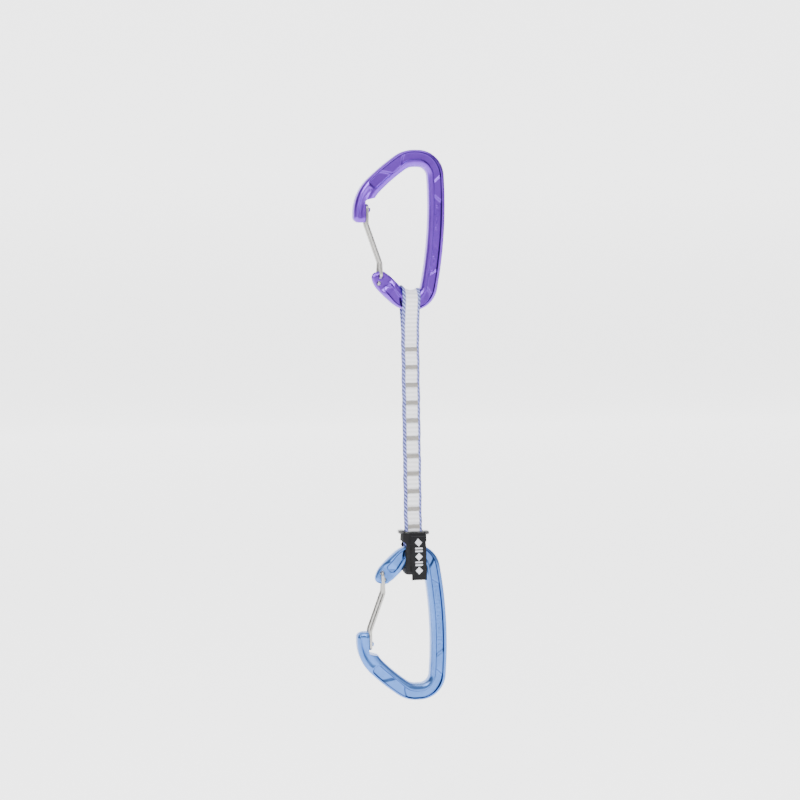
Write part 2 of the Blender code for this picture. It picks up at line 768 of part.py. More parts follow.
def keeper_sleeve(mat):
    """The textile sleeve: open at the top, closed below the eye, windows for the bar."""
    half_x, half_y = SLEEVE_WIDTH / 2, CAVITY_DEPTH + SLEEVE_WALL
    outline = rounded_box_outline(half_x, half_y, SLEEVE_EDGE)
    sleeve = upright_prism("keeper_sleeve", outline, KEEPER_X, SLEEVE_BOTTOM, SLEEVE_TOP, mat)
    inside = rounded_box_outline(half_x - SLEEVE_WALL, CAVITY_DEPTH, SLEEVE_EDGE - SLEEVE_WALL)
    cavity = upright_prism("sleeve_cavity", inside, KEEPER_X, SLEEVE_FLOOR, SLEEVE_TOP + 2.0)
    boolean(sleeve, cutter(cavity), "DIFFERENCE")
    boolean(sleeve, cutter(prism("sleeve_outline", sleeve_outline(), -2 * half_y, 2 * half_y)), "INTERSECT")
    window_top = LOWER_AXIS_Z + bar_reach(0.0) + WINDOW_CLEARANCE
    bridge = WEBBING_WIDTH / 2 + BRIDGE_CLEARANCE
    for name, x_low, x_high in (
        ("gate_side_window", KEEPER_X - 2 * half_x, LOWER_EYE.x - bridge),
        ("spine_side_window", LOWER_EYE.x + bridge, KEEPER_X + 2 * half_x),
    ):
        low = (x_low, -CAVITY_DEPTH, SLEEVE_BOTTOM - 1.0)
        high = (x_high, CAVITY_DEPTH, window_top)
        boolean(sleeve, cutter(block(name, low, high)), "DIFFERENCE")
    return sleeve


def keeper_rubber(mat):
    """The rubber band at the neck, with two ears that stand above the sleeve."""
    half_x = SLEEVE_WIDTH / 2 - SLEEVE_WALL - FIT
    half_y = CAVITY_DEPTH - FIT
    low = SLEEVE_TOP - RUBBER_HEIGHT
    high = SLEEVE_TOP + RUBBER_RISE
    band = rounded_box_outline(half_x, half_y, RUBBER_EDGE)
    rubber = upright_prism("keeper_rubber", band, KEEPER_X, low, high, mat)
    inside = rounded_box_outline(half_x - RUBBER_WALL, half_y - RUBBER_WALL, RUBBER_INNER_EDGE)
    hole = upright_prism("rubber_hole", inside, KEEPER_X, low - 1.0, high + 1.0)
    boolean(rubber, cutter(hole), "DIFFERENCE")
    for side, name in ((-1, "gate_side_ear"), (1, "spine_side_ear")):
        inner = KEEPER_X + side * (half_x - RUBBER_WALL * 0.6)
        outer = inner + side * EAR_SIZE
        x_low, x_high = min(inner, outer), max(inner, outer)
        ear = block(name, (x_low, -half_y * 0.5, SLEEVE_TOP + FIT), (x_high, half_y * 0.5, high + EAR_RISE))
        boolean(rubber, cutter(ear), "UNION")
    return rubber


def keeper_label(mat):
    """The woven strip on the sleeve's front; its lower end hangs free."""
    x = LABEL_X
    front = SLEEVE_FRONT - FIT - LABEL_THICKNESS
    low = (x - LABEL_WIDTH / 2, front, SLEEVE_TOP - LABEL_DROP - LABEL_LENGTH)
    high = (x + LABEL_WIDTH / 2, SLEEVE_FRONT - FIT, SLEEVE_TOP - LABEL_DROP)
    obj = block("keeper_label", low, high)
    obj.data.materials.append(mat)
    return obj


def label_stitch(mat):
    """The raised row of thread across the label's top."""
    x = LABEL_X
    face = SLEEVE_FRONT - FIT - LABEL_THICKNESS - FIT
    z = SLEEVE_TOP - STITCH_ROW_DROP
    pitch = STITCH_ROW_WIDTH / STITCH_COUNT
    profile = [(x - STITCH_ROW_WIDTH / 2, face)]
    for k in range(STITCH_COUNT):
        left = x - STITCH_ROW_WIDTH / 2 + k * pitch
        profile += [(left + 0.25 * pitch, face - STITCH_RISE), (left + 0.75 * pitch, face - STITCH_RISE)]
        profile.append((left + pitch, face - STITCH_VALLEY if k < STITCH_COUNT - 1 else face))
    rings = [[(px, py, level) for px, py in profile] for level in (z - STITCH_RISE, z + STITCH_RISE)]
    return mesh_object("label_stitch", *ring_loft(rings), mat)


def build():
    """Make every piece of the quickdraw."""
    for obj in list(bpy.data.objects):
        bpy.data.objects.remove(obj, do_unlink=True)
    violet = material("violet_anodised", (0.24, 0.16, 0.72), 0.32, 0.9)
    blue = material("light_blue_anodised", (0.22, 0.38, 0.74), 0.32, 0.9)
    steel = material("stainless_wire", (0.62, 0.62, 0.62), 0.3, 1.0)
    weave = material("white_webbing", (0.86, 0.86, 0.9), 0.85)
    thread = material("grey_thread", (0.5, 0.48, 0.46), 0.8)
    rubber = material("black_rubber", (0.02, 0.02, 0.02), 0.4)
    textile = material("black_textile", (0.025, 0.025, 0.028), 0.9)
    carabiner("upper", False, violet, steel)
    carabiner("lower", True, blue, steel)
    webbing(weave)
    for index in range(TACK_COUNT):
        bar_tack(index, thread)
    keeper_rubber(rubber)
    keeper_sleeve(textile)
    keeper_label(textile)
    label_stitch(thread)


build()
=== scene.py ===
"""Looks of a climbing quickdraw: two forged wire-gate carabiners and a sewn sling.

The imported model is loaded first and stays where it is.  Each class below holds the sizes of one
sub-assembly in millimetres, builds its meshes and dresses them.  +Z is up, the gates are on the
-X side and the front of the object looks along -Y.
"""

import logging
import math
from dataclasses import dataclass
from enum import Enum

import bmesh
import bpy
import numpy as np
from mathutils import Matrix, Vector
from mathutils.kdtree import KDTree

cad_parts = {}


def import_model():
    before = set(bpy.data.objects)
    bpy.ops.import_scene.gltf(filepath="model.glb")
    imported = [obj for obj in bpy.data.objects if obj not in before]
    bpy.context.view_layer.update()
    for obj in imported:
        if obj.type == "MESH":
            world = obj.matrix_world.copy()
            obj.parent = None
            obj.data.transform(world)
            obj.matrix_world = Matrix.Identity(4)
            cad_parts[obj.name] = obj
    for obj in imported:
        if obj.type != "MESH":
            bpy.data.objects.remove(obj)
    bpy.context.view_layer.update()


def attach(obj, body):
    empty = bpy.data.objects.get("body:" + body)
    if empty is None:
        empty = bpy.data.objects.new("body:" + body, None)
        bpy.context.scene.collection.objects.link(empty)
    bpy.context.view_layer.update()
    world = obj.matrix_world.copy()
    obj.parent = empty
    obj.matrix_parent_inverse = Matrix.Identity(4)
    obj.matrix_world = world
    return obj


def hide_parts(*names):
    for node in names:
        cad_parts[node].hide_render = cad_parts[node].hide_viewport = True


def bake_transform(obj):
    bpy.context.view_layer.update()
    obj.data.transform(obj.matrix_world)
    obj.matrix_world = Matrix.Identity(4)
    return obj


LOG = logging.getLogger("quickdraw")
MM = 0.001
Point = tuple[float, float, float]
Colour = tuple[float, float, float]


class Side(Enum):
    """Which of the two carabiners a piece belongs to."""

    UPPER = "upper"
    LOWER = "lower"


def smoothstep(x: np.ndarray | float) -> np.ndarray | float:
    """Ease from 0 to 1 while x goes from 0 to 1."""
    t = np.clip(x, 0.0, 1.0)
    return t * t * (3.0 - 2.0 * t)


def ramp(x: np.ndarray | float) -> np.ndarray | float:
    """Rise in a straight line from 0 to 1 while x goes from 0 to 1."""
    return np.clip(x, 0.0, 1.0)


def squared(v: np.ndarray, power: float) -> np.ndarray:
    """Bend a sine or cosine so that the circle it draws becomes a rounded square."""
    return np.sign(v) * np.abs(v) ** power


# ---------------------------------------------------------------------------------- finishes
class Shader:
    """A short hand for the nodes of one material."""

    def __init__(self, name: str) -> None:
        """Make an empty material with a Principled shader.

        Args:
            name: the material's name.
        """
        self.material = bpy.data.materials.new(name)
        self.material.use_nodes = True
        self.tree = self.material.node_tree
        self.principled = self.tree.nodes["Principled BSDF"]

    def node(self, kind: str, **values: object) -> bpy.types.Node:
        """Add a node and set its properties and input values.

        Args:
            kind: Blender's name of the node type.
            values: a property, or an input with _ for the space in its name.

        Returns:
            The new node.
        """
        made = self.tree.nodes.new(kind)
        for key, value in values.items():
            if hasattr(made, key):
                setattr(made, key, value)
            else:
                made.inputs[key.replace("_", " ")].default_value = value
        return made

    def link(self, source: bpy.types.NodeSocket, target: bpy.types.NodeSocket) -> None:
        """Join two sockets."""
        self.tree.links.new(source, target)

    def feed(self, name: str, source: bpy.types.NodeSocket) -> None:
        """Lead a socket to one of the shader's inputs."""
        self.link(source, self.principled.inputs[name])

    def math(self, operation: str, a: object, b: object = 0.0, clamp: bool = False) -> bpy.types.NodeSocket:
        """Add a Math node.

        Args:
            operation: Blender's name of the operation.
            a: a socket or a number.
            b: a socket or a number.
            clamp: keep the result between 0 and 1.

        Returns:
            The result's socket.
        """
        made = self.tree.nodes.new("ShaderNodeMath")
        made.operation = operation
        made.use_clamp = clamp
        for index, value in enumerate((a, b)):
            if isinstance(value, bpy.types.NodeSocket):
                self.link(value, made.inputs[index])
            else:
                made.inputs[index].default_value = value
        return made.outputs[0]

    def mix(self, share: object, low: object, high: object) -> bpy.types.NodeSocket:
        """Mix two colours by a share that is a socket or a number.

        Args:
            share: 0 gives the low colour and 1 the high one.
            low: a colour or a socket.
            high: a colour or a socket.

        Returns:
            The mixed colour's socket.
        """
        made = self.tree.nodes.new("ShaderNodeMix")
        made.data_type = "RGBA"
        for socket, value in ((made.inputs[0], share), (made.inputs[6], low), (made.inputs[7], high)):
            if isinstance(value, bpy.types.NodeSocket):
                self.link(value, socket)
            elif isinstance(value, tuple):
                socket.default_value = (*value, 1.0)
            else:
                socket.default_value = value
        return made.outputs[2]

    def attribute(self, name: str) -> bpy.types.NodeSocket:
        """Read a number that the mesh holds at each point."""
        return self.node("ShaderNodeAttribute", attribute_name=name).outputs["Fac"]

    def noise(self, scale: float, detail: float = 4.0,
              stretch: Point = (1.0, 1.0, 1.0)) -> bpy.types.NodeSocket:
        """Noise in the object's own space.

        Args:
            scale: spots per metre.
            detail: octaves.
            stretch: factors along X, Y and Z.

        Returns:
            The noise value's socket.
        """
        place = self.node("ShaderNodeTexCoord").outputs["Object"]
        mapping = self.node("ShaderNodeMapping")
        mapping.inputs["Scale"].default_value = stretch
        self.link(place, mapping.inputs["Vector"])
        made = self.node("ShaderNodeTexNoise", Scale=scale, Detail=detail)
        self.link(mapping.outputs["Vector"], made.inputs["Vector"])
        return made.outputs["Fac"]

    def spread(self, value: bpy.types.NodeSocket, low: float, high: float) -> bpy.types.NodeSocket:
        """Stretch a noise value's middle range to low..high."""
        made = self.node("ShaderNodeMapRange")
        made.inputs["From Min"].default_value = 0.3
        made.inputs["From Max"].default_value = 0.7
        made.inputs["To Min"].default_value = low
        made.inputs["To Max"].default_value = high
        self.link(value, made.inputs["Value"])
        return made.outputs["Result"]

    def bump(self, height: bpy.types.NodeSocket, distance: float, strength: float = 1.0) -> None:
        """Give the shader a bump of a depth in metres."""
        made = self.node("ShaderNodeBump", Strength=strength, Distance=distance)
        self.link(height, made.inputs["Height"])
        self.link(made.outputs["Normal"], self.principled.inputs["Normal"])

    def fixed(self, **values: float) -> None:
        """Set the shader's own sockets to even values."""
        for key, value in values.items():
            self.principled.inputs[key.replace("_", " ")].default_value = value


@dataclass(frozen=True)
class AnodisedFinish:
    """Satin anodised aluminium: painted shade at the foot of the pocket walls and on the pad ramps, and dye
    that thins on worn rims.
    """

    name: str
    dye: Colour
    # deep: the dark tone of the random mottle, and also the colour of the painted shade in the pockets.
    deep: Colour
    worn: Colour
    roughness: float = 0.33

    def make(self) -> bpy.types.Material:
        """Build the material."""
        shader = Shader(self.name)
        cloud = shader.spread(shader.noise(90.0, 5.0), 0.0, 1.0)
        tint = shader.mix(shader.math("MULTIPLY", cloud, 0.22), self.dye, self.deep)
        painted_pocket_shade = shader.attribute("painted_pocket_shade")
        # Painted shade: darken the dye toward the deep colour at the foot of the pocket walls and on the pad
        # ramps.
        tint = shader.mix(shader.math("MULTIPLY", painted_pocket_shade, 0.96), tint, self.deep)
        scuff = shader.spread(shader.noise(2600.0, 3.0, (1.0, 1.0, 0.35)), -0.35, 1.0)
        rubbed = shader.math("MULTIPLY", shader.attribute("wear"), scuff, clamp=True)
        tint = shader.mix(shader.math("MULTIPLY", rubbed, 0.7), tint, self.worn)
        shader.feed("Base Color", tint)
        peel = shader.noise(3800.0, 3.0)
        shader.feed("Roughness", shader.spread(peel, self.roughness - 0.05, self.roughness + 0.06))
        shader.bump(shader.math("ADD", peel, shader.math("MULTIPLY", shader.noise(900.0), 1.5)), 0.00003, 0.6)
        shader.fixed(Metallic=0.97, Coat_Weight=0.1, Coat_Roughness=0.2, Specular_IOR_Level=0.5)
        return shader.material


@dataclass(frozen=True)
class WireFinish:
    """Drawn stainless wire with fine marks along its length."""

    name: str
    colour: Colour
    roughness: float = 0.24

    def make(self) -> bpy.types.Material:
        """Build the material."""
        shader = Shader(self.name)
        streak = shader.noise(2400.0, 3.0, (1.0, 1.0, 0.06))
        dark = tuple(0.72 * c for c in self.colour)
        shader.feed("Base Color", shader.mix(shader.spread(streak, 0.0, 1.0), dark, self.colour))
        shader.feed("Roughness", shader.spread(streak, self.roughness, self.roughness + 0.16))
        shader.bump(streak, 0.00002, 0.5)
        shader.fixed(Metallic=1.0)
        return shader.material


@dataclass(frozen=True)
class WebbingFinish:
    """White high-tenacity webbing whose edge yarns cross in slanted dashes."""

    name: str
    white: Colour
    navy: Colour
    lilac: Colour
    sky: Colour

    def make(self) -> bpy.types.Material:
        """Build the material; the mesh holds where the yarns lie and where the painted shade darkens the rib
        valleys.
        """
        shader = Shader(self.name)
        fuzz = shader.noise(1500.0, 4.0)
        fibre = shader.noise(5200.0, 2.0, (1.0, 1.0, 0.3))
        shade = tuple(0.78 * c for c in self.white)
        # Painted shade: the rib valleys are darkened toward the shade colour.
        ground = shader.mix(shader.attribute("painted_rib_shade"), self.white, shade)
        dash = shader.attribute("dash")
        pale = shader.mix(shader.spread(fuzz, 0.0, 1.0), self.sky, self.lilac)
        edge = shader.mix(dash, pale, self.navy)
        tint = shader.mix(shader.attribute("edge"), ground, edge)
        tint = shader.mix(shader.spread(fibre, 0.0, 0.14), tint, shade)
        shader.feed("Base Color", tint)
        shader.feed("Roughness", shader.spread(fuzz, 0.78, 0.95))
        shader.bump(fibre, 0.00009, 0.8)
        shader.fixed(Sheen_Weight=0.25, Sheen_Roughness=0.45, Specular_IOR_Level=0.25)
        return shader.material


@dataclass(frozen=True)
class YarnFinish:
    """Twisted sewing thread or textile yarn of one colour."""

    name: str
    colour: Colour
    lift: float = 0.35
    sheen: float = 0.3
    roughness: float = 0.75
    relief: float = 0.00006
    grain: float = 4200.0

    def make(self) -> bpy.types.Material:
        """Build the material."""
        shader = Shader(self.name)
        strand = shader.noise(self.grain, 3.0, (1.0, 1.0, 0.5))
        light = tuple(min(c * (1.0 + 0.5 * self.lift), 1.0) for c in self.colour)
        dark = tuple(c * (1.0 - self.lift) for c in self.colour)
        shader.feed("Base Color", shader.mix(shader.spread(strand, 0.0, 1.0), dark, light))
        shader.feed("Roughness", shader.spread(strand, self.roughness - 0.1, self.roughness + 0.1))
        shader.bump(strand, self.relief, 0.7)
        shader.fixed(Sheen_Weight=self.sheen, Sheen_Roughness=0.5, Specular_IOR_Level=0.22)
        return shader.material


@dataclass(frozen=True)
class RubberFinish:
    """Glossy moulded rubber with a faint bloom."""

    name: str
    colour: Colour

    def make(self) -> bpy.types.Material:
        """Build the material."""
        shader = Shader(self.name)
        bloom = shader.noise(700.0, 5.0)
        light = tuple(c + 0.03 for c in self.colour)
        shader.feed("Base Color", shader.mix(shader.spread(bloom, 0.0, 1.0), self.colour, light))
        shader.feed("Roughness", shader.spread(bloom, 0.2, 0.36))
        shader.bump(shader.noise(2600.0), 0.00002, 0.5)
        shader.fixed(Specular_IOR_Level=0.55, Coat_Weight=0.3, Coat_Roughness=0.15)
        return shader.material


VIOLET = AnodisedFinish("violet_anodised", (0.19, 0.052, 0.58), (0.006, 0.001, 0.05), (0.46, 0.3, 0.93))
LIGHT_BLUE = AnodisedFinish(
    "light_blue_anodised", (0.09, 0.21, 0.56), (0.004, 0.015, 0.09), (0.46, 0.62, 0.93)
)
STEEL = WireFinish("stainless_wire", (0.46, 0.45, 0.43))
WEBBING = WebbingFinish(
    "edge_dashed_webbing", (0.86, 0.86, 0.9), (0.02, 0.025, 0.17), (0.26, 0.23, 0.72), (0.3, 0.4, 0.82)
)
TACK_THREAD = YarnFinish("grey_tack_thread", (0.3, 0.285, 0.265))
TEXTILE = YarnFinish("black_keeper_textile", (0.011, 0.011, 0.012), 0.45, 0.0, 0.86, 0.000025, 5600.0)
LABEL_GROUND = YarnFinish("black_label_weave", (0.008, 0.008, 0.009), 0.4, 0.0, 0.8, 0.000015, 6400.0)
LABEL_WHITE = YarnFinish("white_label_thread", (0.82, 0.83, 0.88), lift=0.12, sheen=0.2, roughness=0.65)
BLACK_THREAD = YarnFinish("black_thread", (0.018, 0.018, 0.02), lift=0.4, sheen=0.15, roughness=0.7)
RUBBER = RubberFinish("glossy_black_rubber", (0.012, 0.012, 0.013))


# ----------------------------------------------------------------------------- mesh helpers
def make_object(name: str, verts: np.ndarray | list, faces: list, material: bpy.types.Material | None = None,
                smooth: bool = True) -> bpy.types.Object:
    """Make a mesh object from points in millimetres.

    Args:
        name: the piece's name.
        verts: points in millimetres.
        faces: index tuples.
        material: its material, if it has one yet.
        smooth: shade smooth.

    Returns:
        The new object, linked to the scene.
    """
    mesh = bpy.data.meshes.new(name)
    mesh.from_pydata((np.asarray(verts, float) * MM).tolist(), [], faces)
    mesh.update()
    if smooth:
        mesh.shade_smooth()
    if material is not None:
        mesh.materials.append(material)
    obj = bpy.data.objects.new(name, mesh)
    bpy.context.scene.collection.objects.link(obj)
    return obj


def grid_faces(rows: int, columns: int, close_rows: bool = False, close_columns: bool = False) -> list:
    """Quads of a grid of points that are numbered row by row.

    Args:
        rows: number of rows.
        columns: points in a row.
        close_rows: join the last row to the first.
        close_columns: join the last point of each row to its first.

    Returns:
        The list of quads.
    """
    faces = []
    for i in range(rows if close_rows else rows - 1):
        a, b = i * columns, ((i + 1) % rows) * columns
        for j in range(columns if close_columns else columns - 1):
            k = (j + 1) % columns
            faces.append((a + j, a + k, b + k, b + j))
    return faces


def face_out(obj: bpy.types.Object) -> None:
    """Turn all faces of a closed mesh outwards."""
    bm = bmesh.new()
    bm.from_mesh(obj.data)
    bmesh.ops.recalc_face_normals(bm, faces=bm.faces)
    bm.to_mesh(obj.data)
    bm.free()


def set_attribute(mesh: bpy.types.Mesh, name: str, values: np.ndarray) -> None:
    """Store a number at each point of a mesh."""
    held = mesh.attributes.get(name) or mesh.attributes.new(name, "FLOAT", "POINT")
    held.data.foreach_set("value", np.asarray(values, np.float32))


def apply_modifiers(obj: bpy.types.Object) -> None:
    """Replace an object's mesh by what its modifiers make of it."""
    graph = bpy.context.evaluated_depsgraph_get()
    made = bpy.data.meshes.new_from_object(obj.evaluated_get(graph))
    obj.modifiers.clear()
    obj.data = made


def cut(obj: bpy.types.Object, tool: bpy.types.Object, operation: str) -> None:
    """Join or cut a mesh with a tool, and remove the tool."""
    mod = obj.modifiers.new(tool.name, "BOOLEAN")
    mod.object = tool
    mod.operation = operation
    mod.solver = "EXACT"
    apply_modifiers(obj)
    bpy.data.objects.remove(tool, do_unlink=True)


def slab(name: str, outline: list[tuple[float, float]], half: float) -> bpy.types.Object:
    """A tool: an outline seen from the front, extruded both ways.

    Args:
        name: the tool's name.
        outline: (x, z) points in millimetres.
        half: how far it reaches before and behind.

    Returns:
        The tool.
    """
    count = len(outline)
    verts = [(x, y, z) for y in (-half, half) for x, z in outline]
    faces = grid_faces(2, count, close_columns=True)
    faces += [tuple(range(count)), tuple(range(count, 2 * count))]
    tool = make_object(name, verts, faces, smooth=False)
    face_out(tool)
    return tool


def points_of(mesh: bpy.types.Mesh) -> np.ndarray:
    """All points of a mesh, in millimetres."""
    flat = np.empty(len(mesh.vertices) * 3, np.float32)
    mesh.vertices.foreach_get("co", flat)
    return flat.reshape(-1, 3).astype(float) / MM


def tube(name: str, route: np.ndarray, radius: float | np.ndarray, sides: int, material: bpy.types.Material,
         rounded: bool = True) -> bpy.types.Object:
    """A round solid along a route, with rounded ends.

    Args:
        name: the piece's name.
        route: points in millimetres.
        radius: one radius, or one for each point.
        sides: points round the tube.
        material: its material.
        rounded: end in a dome.

    Returns:
        The new object.
    """
    verts, faces = tube_mesh(route, radius, sides, rounded)
    return make_object(name, verts, faces, material)


def tube_mesh(route: np.ndarray, radius: float | np.ndarray, sides: int,
              rounded: bool = True) -> tuple[np.ndarray, list]:
    """Points and faces of a round solid along a route; see tube()."""
    route = np.asarray(route, float)
    radii = np.full(len(route), radius) if np.isscalar(radius) else np.asarray(radius, float)
    if rounded:
        head, tail = route[0] - route[1], route[-1] - route[-2]
        head, tail = head / np.linalg.norm(head), tail / np.linalg.norm(tail)
        arcs = [math.radians(a) for a in (80.0, 55.0, 28.0)]
        front = [route[0] + head * radii[0] * math.sin(a) for a in arcs]
        back = [route[-1] + tail * radii[-1] * math.sin(a) for a in reversed(arcs)]
        radii = np.concatenate([
            [radii[0] * math.cos(a) for a in arcs], radii, [radii[-1] * math.cos(a) for a in reversed(arcs)]
        ])
        route = np.vstack([front, route, back])
    ahead = np.gradient(route, axis=0)
    ahead /= np.linalg.norm(ahead, axis=1)[:, None]
    side = np.cross(ahead[0], (0.31, 0.87, 0.38))
    turns = np.arange(sides) * 2 * math.pi / sides
    verts = []
    for point, direction, size in zip(route, ahead, radii):
        side = side - direction * side.dot(direction)
        side /= np.linalg.norm(side)
        up = np.cross(direction, side)
        ring = np.outer(np.cos(turns), side) + np.outer(np.sin(turns), up)
        verts.append(point + size * ring)
    faces = grid_faces(len(route), sides, close_columns=True)
    faces.append(tuple(reversed(range(sides))))
    faces.append(tuple(range((len(route) - 1) * sides, len(route) * sides)))
    return np.vstack(verts), faces


def joined(parts: list[tuple[np.ndarray, list]]) -> tuple[np.ndarray, list]:
    """Put several point and face lists in one."""
    verts, faces, shift = [], [], 0
    for points, quads in parts:
        verts.append(points)
        faces.extend(tuple(i + shift for i in quad) for quad in quads)
        shift += len(points)
    return np.vstack(verts), faces


def hand_over(piece: bpy.types.Object, slot: str, nodes: list[str] | tuple[str, ...] = ()) -> None:
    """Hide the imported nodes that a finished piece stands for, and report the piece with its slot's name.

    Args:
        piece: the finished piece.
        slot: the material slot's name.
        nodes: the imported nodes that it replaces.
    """
    if nodes:
        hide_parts(*nodes)
    LOG.info("%s: %d points, slot %s, for %s", piece.name, len(piece.data.vertices), slot, list(nodes))


# ------------------------------------------------------------------------- the forged rings
@dataclass
class RingPath:
    """Centreline of the forging: (name, length or radius, sweep) from the nose to the pivot.

    The middle of the seat's inner face is the origin, and each bend turns clockwise.
    """

    bends: tuple[tuple[str, float, float], ...] = (
        ("nose", 5.5, 0.0),
        ("nose_bend", 24.0, 45.0),
        ("arm", 125.0, 10.0),
        ("crown", 15.0, 35.0),
        ("seat", 2.6, 0.0),
        ("shoulder", 11.0, 86.0),
        ("spine", 270.0, 14.6),
        ("heel", 11.0, 79.4),
        ("basket", 13.3, 45.0),
        ("pivot_arm", 12.0, 0.0),
        ("pivot", 14.0, 30.0),
    )
    bow_width: float = 10.6
    step: float = 0.05

    def __post_init__(self) -> None:
        """Walk the bends once and keep a fine table of the line."""
        self.starts: dict[str, tuple[float, float]] = {}
        places, turns = [0.0], []
        total = 0.0
        for name, size, sweep in self.bends:
            length = size if sweep == 0.0 else size * math.radians(sweep)
            self.starts[name] = (total, length)
            total += length
            places.append(total)
            turns.append(math.radians(sweep))
        self.length = total
        self.s = np.linspace(-3.0, total + 3.0, int((total + 6.0) / self.step))
        self.heading = math.pi / 2 - np.interp(self.s, places, np.concatenate([[0.0], np.cumsum(turns)]))
        run = np.diff(self.s, prepend=self.s[0])
        middle = self.heading.copy()
        middle[1:] = (self.heading[1:] + self.heading[:-1]) / 2
        self.x = np.cumsum(run * np.cos(middle))
        self.z = np.cumsum(run * np.sin(middle))
        seat = self.place("seat", 0.5)
        self.x -= np.interp(seat, self.s, self.x)
        self.z += self.bow_width / 2 - np.interp(seat, self.s, self.z)

    def place(self, name: str, share: float = 0.0) -> float:
        """Distance along the line of a point in a named bend."""
        start, length = self.starts[name]
        return start + share * length

    def at(self, s: np.ndarray | float) -> tuple[np.ndarray, np.ndarray, np.ndarray]:
        """x, z and heading at distances along the line."""
        x, z, heading = (np.interp(s, self.s, values) for values in (self.x, self.z, self.heading))
        return x, z, heading

    def offset(self, s: np.ndarray | float, outward: np.ndarray | float) -> tuple[np.ndarray, np.ndarray]:
        """x and z of points beside the line; outward is away from the opening."""
        x, z, heading = self.at(s)
        return x - outward * np.sin(heading), z + outward * np.cos(heading)


PATH = RingPath()


def along(s: np.ndarray, rows: list[tuple[float, ...]]) -> list[np.ndarray]:
    """Ease between the rows (place, value, value, ...) of a table.

    Args:
        s: distances along the ring.
        rows: the table, in order of place.

    Returns:
        One array for each value column.
    """
    places = [row[0] for row in rows]
    index = np.clip(np.searchsorted(places, s) - 1, 0, len(rows) - 2)
    low, high = np.array(places)[index], np.array(places)[index + 1]
    share = smoothstep((s - low) / (high - low))
    table = np.array([row[1:] for row in rows])
    return list((table[index] + (table[index + 1] - table[index]) * share[:, None]).T)


